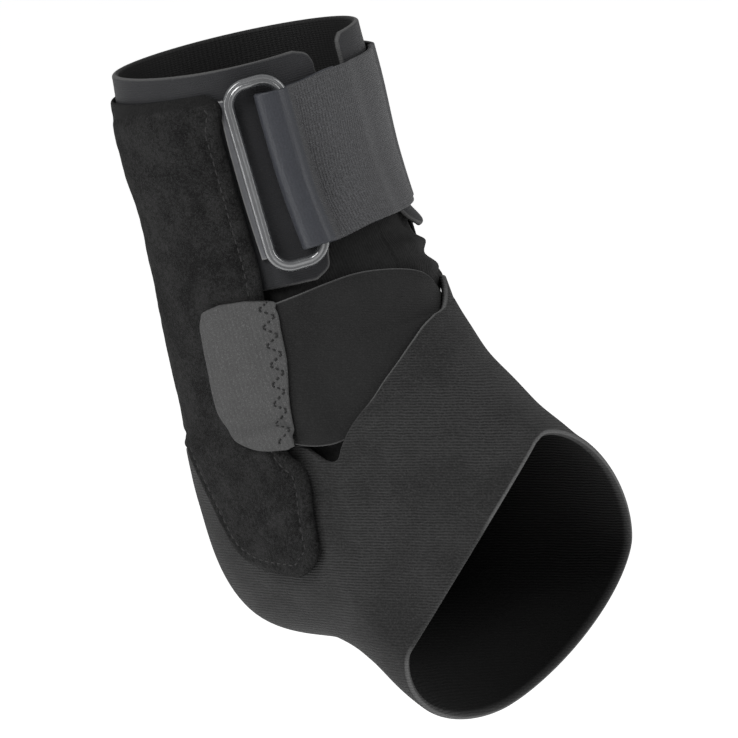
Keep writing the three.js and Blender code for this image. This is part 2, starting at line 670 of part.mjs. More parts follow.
function strapLine(height) {
  const bar = barPlace(height);
  const low = CUFF_OUT + STRAP_GAP + STRAP_HALF;
  const laid = low + STRAP_WALL + LAYER_GAP;
  const high = bar.lift + RING_WIRE / 2 + FOLD_ROOM + STRAP_HALF;
  const reach = FOLD_REACH - STRAP_HALF;
  const at = (along, lift) => ({ turn: bar.turn - along * degreesPerLength, lift });
  const line = [1, 0.75, 0.5, 0.25].map((share) => at(STRAP_INNER_LENGTH * share, low));
  for (const angle of steps(-90, -270, 12)) {
    const a = radians(angle);
    line.push(at(reach * Math.cos(a), (high + low) / 2 + ((high - low) / 2) * Math.sin(a)));
  }
  for (const { along, lift } of STRAP_FALL) line.push(at(along * FOLD_REACH, lerp(laid, high, lift)));
  const innerEnd = line[0].turn;
  const onPad = PAD_IN + PAD_STAY_WALL + STRAP_GAP + STRAP_HALF;
  const padFrom = -padFront(downAtHeight(STRAP_MIDDLE));
  for (const turn of steps(line[line.length - 1].turn, STRAP_END_TURN, STRAP_REST_CELLS).slice(1)) {
    const past = smooth(turn, innerEnd - SETTLE_MARGIN, innerEnd - SETTLE_MARGIN - SETTLE_TURN);
    const rise = smooth(turn, padFrom + SETTLE_MARGIN + SETTLE_TURN, padFrom + SETTLE_MARGIN);
    line.push({ turn, lift: lerp(lerp(laid, low, past), onPad, rise) });
  }
  return line;
}

// Two faces of a strap that follows a line, half a wall to each side of it
function strapFaces(line) {
  return line.map(({ turn, lift }, i) => {
    const before = line[Math.max(0, i - 1)];
    const after = line[Math.min(line.length - 1, i + 1)];
    const run = (after.turn - before.turn) / degreesPerLength;
    const rise = after.lift - before.lift;
    const turnStep = (rise / Math.hypot(run, rise)) * STRAP_HALF * degreesPerLength;
    const liftStep = (-run / Math.hypot(run, rise)) * STRAP_HALF;
    return {
      over: { turn: turn + turnStep, lift: lift + liftStep },
      under: { turn: turn - turnStep, lift: lift - liftStep },
    };
  });
}

function calfStrap() {
  const heights = steps(STRAP_MIDDLE + STRAP_WIDTH / 2, STRAP_MIDDLE - STRAP_WIDTH / 2, 6);
  const drop = (turn) => STRAP_DROP * smooth(turn, STRAP_LEVEL_TURN, barPlace(STRAP_MIDDLE).turn);
  const rows = heights.map((height) => strapFaces(strapLine(height)).reverse());
  const lay = (side) => rows.map((row, j) => row.map((face) => {
    const { turn, lift } = face[side];
    return skin(turn, downAtHeight(heights[j] - drop(turn)), lift);
  }));
  return shell(lay('over'), lay('under'));
}

function piece(name, geometry, roughness, metalness = 0) {
  const material = new THREE.MeshStandardMaterial({ color: COLOURS[name], roughness, metalness });
  const mesh = new THREE.Mesh(geometry, material);
  mesh.name = name;
  return mesh;
}

const brace = new THREE.Group();
brace.add(piece('inner_sleeve', innerSleeve(), 0.9));
brace.add(piece('leg_cuff', legCuff(), 0.8));
brace.add(piece('foot_wrap', footWrap(), 0.85));
brace.add(piece('ankle_strap', ankleStrap(), 0.8));
brace.add(piece('lateral_pad', pad(1), 1));
brace.add(piece('medial_pad', pad(-1), 1));
brace.add(piece('ring', ring(), 0.3, 0.2));
brace.add(piece('ring_keeper', ringKeeper(), 0.45));
brace.add(piece('calf_strap', calfStrap(), 0.8));
brace.add(piece('hook_tab', hookTab(), 0.85));

export default brace;
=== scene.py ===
# Ankle brace: the cloth, webbing, ring and stitches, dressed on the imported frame.
# Shapes are worked out in millimetres and turned to metres as each mesh is made. +Z runs up the leg, +X
# points to the toes and -Y is the outer side. Places on the form are a turn round it and a run down it:
# down is 0 at the form's top, 1 at the bend line of the ankle and 2 at the toe opening.
import math

import bpy
import numpy as np
from mathutils import Matrix, Vector
from mathutils.kdtree import KDTree


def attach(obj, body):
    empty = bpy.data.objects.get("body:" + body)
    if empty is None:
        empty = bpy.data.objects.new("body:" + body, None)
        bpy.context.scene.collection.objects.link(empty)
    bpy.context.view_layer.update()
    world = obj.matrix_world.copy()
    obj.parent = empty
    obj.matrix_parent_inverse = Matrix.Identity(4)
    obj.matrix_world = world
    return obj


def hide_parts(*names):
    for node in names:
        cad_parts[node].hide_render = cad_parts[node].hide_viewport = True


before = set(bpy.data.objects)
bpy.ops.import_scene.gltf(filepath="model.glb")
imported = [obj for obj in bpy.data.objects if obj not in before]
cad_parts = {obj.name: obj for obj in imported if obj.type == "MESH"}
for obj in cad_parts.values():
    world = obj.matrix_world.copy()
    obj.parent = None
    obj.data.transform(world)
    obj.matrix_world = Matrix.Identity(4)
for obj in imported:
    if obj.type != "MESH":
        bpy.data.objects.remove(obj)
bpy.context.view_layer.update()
MM = 0.001

# Camera at the photograph's view
CAMERA_AZIMUTH = 45.0
CAMERA_ELEVATION = 11.0
CAMERA_ROLL = 13.0
CAMERA_DISTANCE = 1300.0
PIXELS_PER_MM = 3.2
PICTURE = 738
ORIGIN_PIXEL = (325, 430)
SENSOR = 36.0


def make_camera():
    azimuth = math.radians(CAMERA_AZIMUTH)
    elevation = math.radians(CAMERA_ELEVATION)
    roll = math.radians(CAMERA_ROLL)
    level = Vector((math.cos(azimuth), math.sin(azimuth), 0))
    back = Vector((math.sin(azimuth) * math.cos(elevation), -math.cos(azimuth) * math.cos(elevation),
                   math.sin(elevation)))
    upright = back.cross(level)
    right = level * math.cos(roll) - upright * math.sin(roll)
    up = level * math.sin(roll) + upright * math.cos(roll)
    across = (PICTURE / 2 - ORIGIN_PIXEL[0]) / PIXELS_PER_MM
    along = (ORIGIN_PIXEL[1] - PICTURE / 2) / PIXELS_PER_MM
    place = (right * across + up * along + back * CAMERA_DISTANCE) * MM
    data = bpy.data.cameras.new("camera")
    data.sensor_width = SENSOR
    data.lens = PIXELS_PER_MM * CAMERA_DISTANCE * SENSOR / PICTURE
    data.clip_end = 20
    camera = bpy.data.objects.new("camera", data)
    camera.matrix_world = Matrix.Translation(place) @ Matrix((right, up, back)).transposed().to_4x4()
    bpy.context.scene.collection.objects.link(camera)
    bpy.context.scene.camera = camera


make_camera()


# Driving sizes of the form
FORM_TOP = 124.0
LEG_RADIUS = 36.0
BEND_FORWARD = 104.0
BEND_HEIGHT = 35.0
OPENING_LEAN = 66.0
HEEL_REACH = 162.0
INSTEP_REACH = 47.5
OPENING_HALF_WIDTH = 48.5

# Walls of the layers and the room between them
LAYER_GAP = 0.4
SLEEVE_WALL = 1.4
CUFF_WALL = 2.0
ANKLE_STRAP_WALL = 1.4
FOOT_WALL = 2.2
PAD_EDGE_WALL = 1.3
PAD_STAY_WALL = 3.6
TAB_WALL = 1.1
STRAP_WALL = 1.3
SLEEVE_OUT = SLEEVE_WALL
CUFF_IN = SLEEVE_OUT + LAYER_GAP
CUFF_OUT = CUFF_IN + CUFF_WALL
PAD_IN = CUFF_OUT + LAYER_GAP
ANKLE_STRAP_OUT = CUFF_IN + ANKLE_STRAP_WALL
FOOT_IN = ANKLE_STRAP_OUT + LAYER_GAP
FOOT_OUT = FOOT_IN + FOOT_WALL
TONGUE_IN = FOOT_OUT + LAYER_GAP


def table(names, *rows):
    return {name: np.array([row[i] for row in rows], float) for i, name in enumerate(names.split())}


LEG_SECTIONS = table(
    "down front back near far",
    (-0.112, 0.967, 0.978, 0.972, 0.967),
    (0.000, 0.967, 0.983, 0.972, 0.967),
    (0.225, 0.986, 1.022, 1.008, 0.986),
    (0.494, 1.014, 0.981, 0.978, 0.972),
    (0.742, 1.167, 0.989, 0.981, 0.958),
    (0.944, 1.306, 1.014, 1.000, 0.972),
)
FOOT_SECTIONS = table(
    "down instep heel middle near far shift near_round far_round heel_round",
    (1.121, 1.116, 0.886, 0.642, 0.742, 0.742, 0.00, 2.00, 2.00, 2.00),
    (1.303, 1.032, 0.954, 0.623, 0.753, 0.773, 0.00, 1.90, 1.90, 2.10),
    (1.500, 0.979, 1.000, 0.611, 0.763, 0.825, 0.02, 1.70, 1.80, 2.15),
    (1.682, 0.968, 0.833, 0.605, 0.804, 0.887, 0.04, 1.40, 1.65, 2.10),
    (1.833, 0.979, 0.790, 0.623, 0.876, 0.969, 0.06, 1.15, 1.55, 1.95),
    (2.000, 1.000, 0.829, 0.623, 0.990, 1.035, 0.08, 1.00, 1.42, 1.72),
    (2.150, 1.000, 0.829, 0.623, 0.990, 1.035, 0.08, 1.00, 1.42, 1.72),
)

LEG_RUN = FORM_TOP - BEND_HEIGHT
FAN_MIDDLE = 0.45
FAN_RUN = math.radians(OPENING_LEAN) * FAN_MIDDLE * (HEEL_REACH + INSTEP_REACH)


def run_at(down):
    return np.where(down < 1, down * LEG_RUN, LEG_RUN + (down - 1) * FAN_RUN)


def down_at_height(height):
    return (FORM_TOP - height) / LEG_RUN


def lerp(a, b, share):
    return a + (b - a) * share


def smooth(x, start, end):
    share = np.clip((x - start) / (end - start), 0, 1)
    return share * share * (3 - 2 * share)


def follow(rows, key, column, at):
    """Smooth curve through the rows of a table, one column at a time."""
    x = rows[key]
    y = rows[column]
    span = np.diff(x)
    slope = np.diff(y) / span
    tangent = np.empty_like(y)
    tangent[0] = slope[0]
    tangent[-1] = slope[-1]
    tangent[1:-1] = (slope[1:] * span[:-1] + slope[:-1] * span[1:]) / (span[:-1] + span[1:])
    at = np.clip(at, x[0], x[-1])
    i = np.clip(np.searchsorted(x, at, side="right") - 1, 0, len(x) - 2)
    s = (at - x[i]) / span[i]
    s2 = s * s
    s3 = s2 * s
    return ((2 * s3 - 3 * s2 + 1) * y[i] + (s3 - 2 * s2 + s) * span[i] * tangent[i]
            + (3 * s2 - 2 * s3) * y[i + 1] + (s3 - s2) * span[i] * tangent[i + 1])


def all_sections():
    leg = LEG_SECTIONS
    foot = FOOT_SECTIONS
    still = np.ones(len(leg["down"]))
    return {
        "run": np.append(run_at(leg["down"]), run_at(foot["down"])),
        "lean": np.append(still * 0, (foot["down"] - 1) * OPENING_LEAN),
        "instep": np.append(BEND_FORWARD - leg["front"] * LEG_RADIUS, foot["instep"] * INSTEP_REACH),
        "heel": np.append(BEND_FORWARD + leg["back"] * LEG_RADIUS, foot["heel"] * HEEL_REACH),
        "middle": np.append(still * BEND_FORWARD, foot["middle"] * HEEL_REACH),
        "near": np.append(leg["near"] * LEG_RADIUS, foot["near"] * OPENING_HALF_WIDTH),
        "far": np.append(leg["far"] * LEG_RADIUS, foot["far"] * OPENING_HALF_WIDTH),
        "shift": np.append(still * 0, foot["shift"] * OPENING_HALF_WIDTH),
        "near_round": np.append(still * 2, foot["near_round"]),
        "far_round": np.append(still * 2, foot["far_round"]),
        "heel_round": np.append(still * 2, foot["heel_round"]),
    }


SECTIONS = all_sections()


def form_point(turn, down):
    """Points of the bare form. turn: 0 at the front, 90 on the near side, 180 at the back."""
    turn, down = np.broadcast_arrays(np.asarray(turn, float), np.asarray(down, float))
    run = run_at(down)
    at = {name: follow(SECTIONS, "run", name, run) for name in SECTIONS if name != "run"}
    c = np.cos(np.radians(turn))
    s = np.sin(np.radians(turn))
    in_front = np.where(s >= 0, at["near_round"], at["far_round"])
    power = 2 / np.where(c >= 0, in_front, at["heel_round"])
    forward = np.sign(c) * np.abs(c) ** power
    sideways = np.sign(s) * np.abs(s) ** power
    reach = at["middle"] - forward * np.where(c >= 0, at["middle"] - at["instep"], at["heel"] - at["middle"])
    side = at["shift"] - sideways * np.where(s >= 0, at["near"], at["far"])
    lean = np.radians(at["lean"])
    height = np.where(down < 1, FORM_TOP - run, BEND_HEIGHT)
    return np.stack([BEND_FORWARD - reach * np.cos(lean), side, height - reach * np.sin(lean)], -1)


PROBE_TURN = 1.5
PROBE_DOWN = 0.03


def lengths_along(points):
    """Length from a line's first point to each of its points."""
    return np.append(0, np.cumsum(np.linalg.norm(np.diff(points, axis=0), axis=1)))


def form_normal(turn, down):
    across = form_point(turn + PROBE_TURN, down) - form_point(turn - PROBE_TURN, down)
    along = form_point(turn, down + PROBE_DOWN) - form_point(turn, down - PROBE_DOWN)
    normal = np.cross(across, along)
    return normal / np.linalg.norm(normal, axis=-1, keepdims=True)


def skin(turn, down, offset):
    """Points at a distance outside the bare form."""
    offset = np.asarray(offset, float)
    return form_point(turn, down) + form_normal(turn, down) * offset[..., None]


# Grids of points and the closed meshes between them
CROWD = 0.9  # how much closer a grid's lines lie at its edges
ARC_PER_DEGREE = 0.7  # length round the leg for a degree, for the weave


def spaced(*breaks_and_counts):
    """Values from one break to the next, closer together at each break: spaced(0, 90, 1, 60, 2)."""
    breaks = breaks_and_counts[0::2]
    counts = breaks_and_counts[1::2]
    values = [np.array([breaks[0]], float)]
    for start, end, count in zip(breaks[:-1], breaks[1:], counts):
        s = np.arange(1, count + 1) / count
        values.append(lerp(start, end, s - CROWD * np.sin(2 * np.pi * s) / (2 * np.pi)))
    return np.concatenate(values)


def vertex_marks(filled, rows, cols, ring):
    """Which grid points are used, and which of them lie on the cloth's edge."""
    cells = np.zeros((rows + 1, cols + (0 if ring else 1)), bool)
    if ring:
        cells[1:-1, :] = filled
        left = np.roll(cells, 1, axis=1)
        around = [cells[:-1], cells[1:], left[:-1], left[1:]]
    else:
        cells[1:-1, 1:-1] = filled
        around = [cells[:-1, :-1], cells[:-1, 1:], cells[1:, :-1], cells[1:, 1:]]
    used = np.logical_or.reduce(around)
    return used, used & ~np.logical_and.reduce(around)


def edge_distance(points, used, rim):
    """Distance in millimetres from each used point to the cloth's nearest edge."""
    flat = points.reshape(-1, 3)
    ids = np.flatnonzero(rim.ravel())
    tree = KDTree(len(ids))
    for i in ids:
        tree.insert(flat[i], int(i))
    tree.balance()
    away = np.zeros(len(flat))
    for i in np.flatnonzero(used.ravel()):
        away[i] = tree.find(flat[i])[2]
    return away.reshape(used.shape)


def make_object(name, vertices, faces, smooth_faces=True):
    mesh = bpy.data.meshes.new(name)
    mesh.from_pydata((np.asarray(vertices) * MM).tolist(), [], [list(f) for f in faces])
    mesh.update()
    mesh.polygons.foreach_set("use_smooth", [smooth_faces] * len(mesh.polygons))
    piece = bpy.data.objects.new(name, mesh)
    bpy.context.scene.collection.objects.link(piece)
    return piece


FACES = {}  # outer face of each cloth: points, normals and distance to its edge


def closed_cloth(name, outer, inner, filled, used, rim, ring, marks):
    """Mesh between two grids that meet along the cloth's edge. marks: per point (arc, run, edge distance)."""
    rows, cols = used.shape
    index = np.arange(rows * cols).reshape(rows, cols)
    under = np.where(rim, index, index + rows * cols)
    right = np.roll(index, -1, axis=1)
    under_right = np.roll(under, -1, axis=1)
    if not ring:
        index, under = index[:, :-1], under[:, :-1]
        right, under_right = right[:, :-1], under_right[:, :-1]
    over_faces = np.stack([index[:-1], right[:-1], right[1:], index[1:]], -1)[filled]
    under_faces = np.stack([under[:-1], under[1:], under_right[1:], under_right[:-1]], -1)[filled]
    faces = np.concatenate([over_faces, under_faces])
    points = np.concatenate([outer.reshape(-1, 3), inner.reshape(-1, 3)])
    kept, compact = np.unique(faces, return_inverse=True)
    piece = make_object(name, points[kept], compact.reshape(faces.shape).tolist())
    marks = np.concatenate([marks.reshape(-1, 3), marks.reshape(-1, 3)])[kept]
    cloth_marks = piece.data.attributes.new("cloth", "FLOAT_VECTOR", "POINT")
    cloth_marks.data.foreach_set("vector", marks.astype(np.float32).ravel())
    side = piece.data.attributes.new("outside", "FLOAT", "POINT")
    side.data.foreach_set("value", (kept < rows * cols).astype(np.float32))
    return piece


def cloth(name, turn, down, under, over, filled=None, ring=False, relief=None, edge_round=1.0):
    """Cloth on the form, with its edges rounded. relief adds to the outer face: relief(turn, down, edge)."""
    turn, down = np.broadcast_arrays(turn, down)
    low = under(turn, down) + 0 * turn
    high = over(turn, down) + 0 * turn
    rows, cols = turn.shape
    if filled is None:
        filled = np.ones((rows - 1, cols - (0 if ring else 1)), bool)
    used, rim = vertex_marks(filled, rows, cols, ring)
    half = (high - low) / 2
    middle = skin(turn, down, (high + low) / 2)
    normal = form_normal(turn, down)
    edge = edge_distance(middle, used, rim)
    share = 1 - np.clip(edge / np.maximum(half * edge_round, 1e-6), 0, 1)
    fall = np.sqrt(1 - share * share)
    lift = half * fall
    added = relief(turn, down, edge) * fall if relief else 0
    outer = middle + normal * (lift + added)[..., None]
    inner = middle - normal * lift[..., None]
    marks = np.stack([turn * ARC_PER_DEGREE, run_at(down), edge], -1)
    FACES[name] = (outer, normal, np.where(used, edge, 0))
    return closed_cloth(name, outer, inner, filled, used, rim, ring, marks)


def centred(turn):
    return (turn + 180) % 360 - 180


# Node graphs
class Graph:
    """A material's nodes, added one at a time and joined by their inputs."""

    def __init__(self, name):
        self.material = bpy.data.materials.new(name)
        self.material.use_nodes = True
        self.tree = self.material.node_tree
        self.tree.nodes.clear()

    def add(self, kind, out=0, settings=None, **inputs):
        node = self.tree.nodes.new("ShaderNode" + kind)
        for key, value in (settings or {}).items():
            setattr(node, key, value)
        for key, value in inputs.items():
            self.put(node, key.replace("_", " "), value)
        return node.outputs[out]

    def put(self, node, name, value):
        socket = node.inputs[int(name[1:])] if name[0] == "i" and name[1:].isdigit() else node.inputs[name]
        if isinstance(value, bpy.types.NodeSocket):
            self.tree.links.new(value, socket)
        else:
            socket.default_value = value

    def math(self, operation, a, b=0.0, c=0.0):
        return self.add("Math", settings={"operation": operation}, i0=a, i1=b, i2=c)

    def mix(self, share, a, b):
        node = self.tree.nodes.new("ShaderNodeMix")
        node.data_type = "RGBA"
        for socket, value in ((node.inputs[0], share), (node.inputs[6], a), (node.inputs[7], b)):
            if isinstance(value, bpy.types.NodeSocket):
                self.tree.links.new(value, socket)
            else:
                socket.default_value = value
        return node.outputs[2]

    def step(self, value, start, end):
        """0 before start, 1 past end, smooth between."""
        return self.add("MapRange", settings={"interpolation_type": "SMOOTHSTEP"},
                        Value=value, From_Min=start, From_Max=end)

    def attribute(self, name, out=1):
        return self.add("Attribute", out=out, settings={"attribute_name": name})

    def place(self):
        """The point of the object, in millimetres."""
        return self.add("Mapping", Vector=self.add("TexCoord", out=3), Scale=(1 / MM, 1 / MM, 1 / MM))

    def times(self, one, other):
        return self.math("MULTIPLY", one, other)

    def marks(self):
        """The cloth's own arc, run and distance to its edge, in millimetres."""
        return self.parts(self.attribute("cloth"))

    def parts(self, vector):
        node = self.tree.nodes.new("ShaderNodeSeparateXYZ")
        self.tree.links.new(vector, node.inputs[0])
        return node.outputs[0], node.outputs[1], node.outputs[2]

    def along(self, vector, direction):
        return self.add("VectorMath", out=1, settings={"operation": "DOT_PRODUCT"}, i0=vector, i1=direction)

    def ribs(self, along, pitch, waver=None):
        """Waves between 0 and 1, one for each pitch; waver shifts them, in turns."""
        turns = self.math("DIVIDE", along, pitch)
        if waver is not None:
            turns = self.math("ADD", turns, waver)
        wave = self.math("SINE", self.math("MULTIPLY", turns, 2 * math.pi))
        return self.math("MULTIPLY_ADD", wave, 0.5, 0.5)

    def line(self, value, start, end):
        """1 before start, 0 past end: a band along an edge."""
        return self.math("SUBTRACT", 1.0, self.step(value, start, end))

    def sum(self, *weighted):
        """Sum of (value, weight) pairs."""
        total = 0.0
        for value, weight in weighted:
            total = self.math("ADD", total, self.math("MULTIPLY", value, weight))
        return total

    def noise(self, vector, scale, detail=3.0, roughness=0.6):
        return self.add("TexNoise", Vector=vector, Scale=scale, Detail=detail, Roughness=roughness)

    def bump(self, height, depth, normal=None):
        inputs = {"Height": height, "Distance": depth, "Strength": 1.0}
        if normal is not None:
            inputs["Normal"] = normal
        return self.add("Bump", **inputs)

    def finish(self, **inputs):
        shader = self.add("BsdfPrincipled", **inputs)
        output = self.tree.nodes.new("ShaderNodeOutputMaterial")
        self.tree.links.new(shader, output.inputs["Surface"])
        return self.material


def grey(level, tint=(1.0, 1.0, 1.0)):
    return (level * tint[0], level * tint[1], level * tint[2], 1.0)


# Outlines and heights of the pieces, as in the frame
SLEEVE_TOP = 70.0
SLEEVE_END = 1.44
WRINKLE_RISE = 3.0
WRINKLE_LIFT = 1.8
UNDER_WRAP = 8.0  # how far below the foot wrap's edge a wrinkle dies out
UNDER_WRAP_RISE = 1.9
TUCK_HEIGHT = 38.2  # where the sleeve fills the room behind the foot wrap's corner
TUCK_SPREAD = 2.7
CUFF_TOP = FORM_TOP - 1.4
CUFF_RIM_DIP = 0.9
RIM_DIP_TURN = 45.0
CUFF_FLAP_LOW = 53.4
CUFF_FLAP_RISE = 4.4
CUFF_UNDER_PAD = 2.8
CUFF_FLARE = 2.2
FLARE_HEIGHTS = (65, 58)  # the flap's corner starts to stand off between these heights
FLARE_TURNS = (-64, -50, -22, -10)  # it does so fully between the middle two turns
EDGE_GAP = 1.0
PAD_BACK_TURN = 179.6
PAD_STEP_START = 8.2
PAD_STEP_END = 3.3
PAD_STEP_TURN = 6.0
HEM_SLOPE = 6.4
STAY_BACK_TURN = 112.0
THIN_BACK_TURN = 130.0
FAR_THIN_TURNS = (60.0, 78.0)  # the far pad thins to its front edge, where the calf strap lies on it

CUFF_FRONT = table(
    "drop near far",
    (0.000, 19.0, -11.5), (0.022, 13.5, -8.6), (0.055, 10.5, -7.5), (0.110, 9.6, -7.4),
    (0.300, 12.5, -8.0), (0.520, 18.0, -11.0), (0.740, 24.5, -16.0), (0.900, 29.5, -21.0),
    (0.965, 32.5, -24.5), (1.000, 38.0, -30.0),
)
PAD_FRONT = table(
    "down front",
    (0.098, 61.5), (0.112, 58.8), (0.240, 57.8), (0.400, 57.4), (0.560, 57.8), (0.700, 58.4), (0.822, 60.0),
    (0.950, 62.5), (1.060, 64.6), (1.140, 67.0), (1.190, 68.8), (1.215, 69.6), (1.262, 71.0), (1.310, 71.6),
    (1.370, 69.8), (1.430, 71.6), (1.490, 75.6), (1.540, 79.2), (1.575, 82.4), (1.600, 86.0),
)
PAD_BACK = table(
    "down back",
    (1.215, 116.4), (1.262, 114.5), (1.310, 113.2), (1.370, 112.6), (1.430, 112.0), (1.490, 108.4),
    (1.540, 104.0), (1.575, 100.6), (1.600, 97.0),
)
FOOT_EDGE = table(
    "turn down",
    (-43, 0.950), (-38, 0.936), (-29, 0.958), (-20, 0.986), (-8, 1.025), (4, 1.066), (13, 1.125),
    (22.5, 1.188), (31, 1.238), (38.5, 1.284), (45.3, 1.314), (52, 1.350), (56.5, 1.382),
    (60.5, 1.412), (63.9, 1.387), (66.5, 1.322), (73, 1.300), (86, 1.280), (100, 1.256),
    (115, 1.232), (130, 1.212), (180, 1.206),
    (230, 1.216), (250, 1.226), (275, 1.232), (295, 1.225), (304, 1.170), (311, 1.020), (317, 0.950),
    (322, 0.936), (331, 0.958),
)
ANKLE_STRAP_EDGES = table(
    "along top low",
    (0.00, 0.845, 1.300), (0.07, 0.833, 1.356), (0.19, 0.813, 1.372), (0.30, 0.806, 1.385),
    (0.43, 0.825, 1.380), (0.58, 0.880, 1.345), (0.72, 0.960, 1.320), (0.86, 1.040, 1.320),
    (1.00, 1.110, 1.320),
)
ANKLE_STRAP_START = table(
    "down turn",
    (0.80, 59.2), (0.95, 61.2), (1.06, 63.4), (1.19, 67.6), (1.32, 70.4),
)
WRINKLES = table(
    "height climb rise spread",
    (0.955, 0.090, 0.95, 2.6), (0.765, 0.200, 1.15, 3.9),
)
TAB_EDGES = table(
    "down front back",
    (0.812, 66.0, 76.5), (0.828, 57.5, 82.4), (0.862, 55.8, 85.6), (0.930, 56.2, 87.0), (1.010, 57.2, 87.6),
    (1.080, 58.9, 88.4), (1.150, 61.2, 88.8), (1.195, 62.8, 87.0), (1.240, 64.4, 83.2), (1.275, 65.7, 77.8),
    (1.306, 66.8, 69.5),
)


def foot_edge(turn):
    first = FOOT_EDGE["turn"][1]
    return follow(FOOT_EDGE, "turn", "down", (turn - first) % 360 + first)


def pad_front(down):
    return follow(PAD_FRONT, "down", "front", down)


def ripple(x, y, size):
    """Gentle uneven waves between -1 and 1, about size millimetres apart."""
    total = 0
    for k, (a, b) in enumerate(((1.0, 0.35), (-0.45, 1.1), (0.8, -0.9), (1.7, 0.6), (-1.3, 1.6))):
        total = total + np.sin((a * x + b * y) * 2 * np.pi / size + 1.7 * k) / (1 + 0.5 * k)
    return total / 3


# Inner sleeve
WRINKLE_TURNS = (12, -22, -48, -58)  # none before the first and past the last, full between the others
TUCK_TURNS = (-31, -38)  # the fill behind the foot wrap's corner begins between these turns
TUCK_FADE = 3  # over this length above the wrap's edge the sleeve's whole rise is held down


def wrinkle(turn, down):
    turn = centred(turn)
    height = FORM_TOP - run_at(down)
    begun, full, fading, gone = WRINKLE_TURNS
    front = smooth(turn, begun, full) * smooth(turn, gone, fading)
    rise = 0
    for height_share, climb, share, spread in zip(*WRINKLES.values()):
        middle = CUFF_FLAP_LOW * (height_share + climb * (1 - turn / fading))
        away = (height - middle) / spread
        rise = rise + share * WRINKLE_RISE * np.exp(-away * away)
    away = (height - TUCK_HEIGHT) / TUCK_SPREAD
    rise = rise + UNDER_WRAP_RISE * np.exp(-away * away) * smooth(turn, *TUCK_TURNS)
    below = (down - foot_edge(turn)) * LEG_RUN
    tucked = lerp(rise, np.minimum(rise, UNDER_WRAP_RISE), smooth(below, -TUCK_FADE, 0))
    return tucked * front * smooth(below, UNDER_WRAP, 1)


def inner_sleeve():
    down = spaced(down_at_height(SLEEVE_TOP), 150, SLEEVE_END)[:, None]
    turn = np.arange(0, 360, 1.5)[None, :]

    def over(turn, down):
        fine = 0.25 * ripple(centred(turn) * ARC_PER_DEGREE, run_at(down), 9) * smooth(down, 0.7, 0.78)
        return SLEEVE_OUT + wrinkle(turn, down) + fine * smooth(down, 1.0, 0.94)

    return cloth("sleeve_knit", turn, down, lambda t, d: over(t, d) - SLEEVE_WALL, over, ring=True)


# Leg cuff
def rim_dip(turn):
    beside = np.clip(centred(turn - RIM_DIP_TURN), -90, 90)
    return CUFF_RIM_DIP * np.cos(np.radians(2 * beside))


def flap_low(turn):
    return CUFF_FLAP_LOW + CUFF_FLAP_RISE * smooth(turn, 120, 300)


def flare(turn, down):
    """The far flap's low corner stands off the sleeve a little."""
    height = FORM_TOP - run_at(down)
    turn = centred(turn)
    far, full, still, near = FLARE_TURNS
    return CUFF_FLARE * smooth(height, *FLARE_HEIGHTS) * smooth(turn, far, full) * smooth(turn, near, still)


def leg_cuff():
    row = spaced(0, 110, 1, 50, 2)[:, None]
    col = spaced(0, 46, 1, 150, 2, 46, 3)[None, :]
    flap = np.minimum(row, 1)
    near = follow(CUFF_FRONT, "drop", "near", flap)
    far = follow(CUFF_FRONT, "drop", "far", flap)

    def down_at(turn):
        height = lerp(CUFF_TOP - rim_dip(turn), flap_low(turn), flap)
        lower = foot_edge(turn) - EDGE_GAP / FAN_RUN
        return lerp(down_at_height(height), lower, np.maximum(row - 1, 0))

    inside = pad_front(down_at(PAD_FRONT["front"][0])) + CUFF_UNDER_PAD
    turn = np.where(col < 1, lerp(near, inside, col),
                    np.where(col < 2, lerp(inside, 360 - inside, col - 1),
                             lerp(360 - inside, 360 + far, col - 2)))
    middle_row = (row[:-1] + row[1:]) / 2
    middle_col = (col[:, :-1] + col[:, 1:]) / 2
    filled = (middle_row < 1) | ((middle_col > 1) & (middle_col < 2))
    return cloth("cuff_neoprene", turn, down_at(turn), lambda t, d: CUFF_IN + flare(t, d),
                 lambda t, d: CUFF_OUT + flare(t, d), filled, edge_round=0.9)


# Foot wrap
def foot_wrap():
    share = spaced(0, 130, 1)[:, None]
    turn = np.arange(-38, 322, 1.2)[None, :]
    down = lerp(foot_edge(turn), 2, share)

    def relief(turn, down, edge):
        return 0.22 * ripple(turn * ARC_PER_DEGREE, run_at(down), 34) * smooth(edge, 1, 9)

    return cloth("foot_neoprene", turn, down, lambda t, d: FOOT_IN, lambda t, d: FOOT_OUT, ring=True,
                 relief=relief, edge_round=0.9)


# Stay pads
def pad_under(turn, down):
    above = (foot_edge(turn) - down) * FAN_RUN
    back = PAD_BACK["back"][0]
    beside = smooth(np.abs(centred(turn)), back + PAD_STEP_TURN, back)
    return lerp(PAD_IN, TONGUE_IN, smooth(above, PAD_STEP_START, PAD_STEP_END) * beside)


def pad_wall(turn, down):
    below_hem = (down - PAD_FRONT["down"][0]) * LEG_RUN
    stay = smooth(np.abs(centred(turn)), THIN_BACK_TURN, STAY_BACK_TURN) * smooth(below_hem, 0, HEM_SLOPE)
    stay = stay * np.where(centred(turn) < 0, smooth(np.abs(centred(turn)), *FAR_THIN_TURNS), 1)
    return lerp(PAD_EDGE_WALL, PAD_STAY_WALL, stay)


def pad_over(turn, down):
    return pad_under(turn, down) + pad_wall(turn, down)


TONGUE_ROOT = 1.2025
TONGUE_TURN_IN = 1.575
TONGUE_END = 1.612
SEAM_IN = 4.2  # from the pad's edge to its stitched seam
SEAM_DEPTH = 0.5
SEAM_SPREAD = 1.1


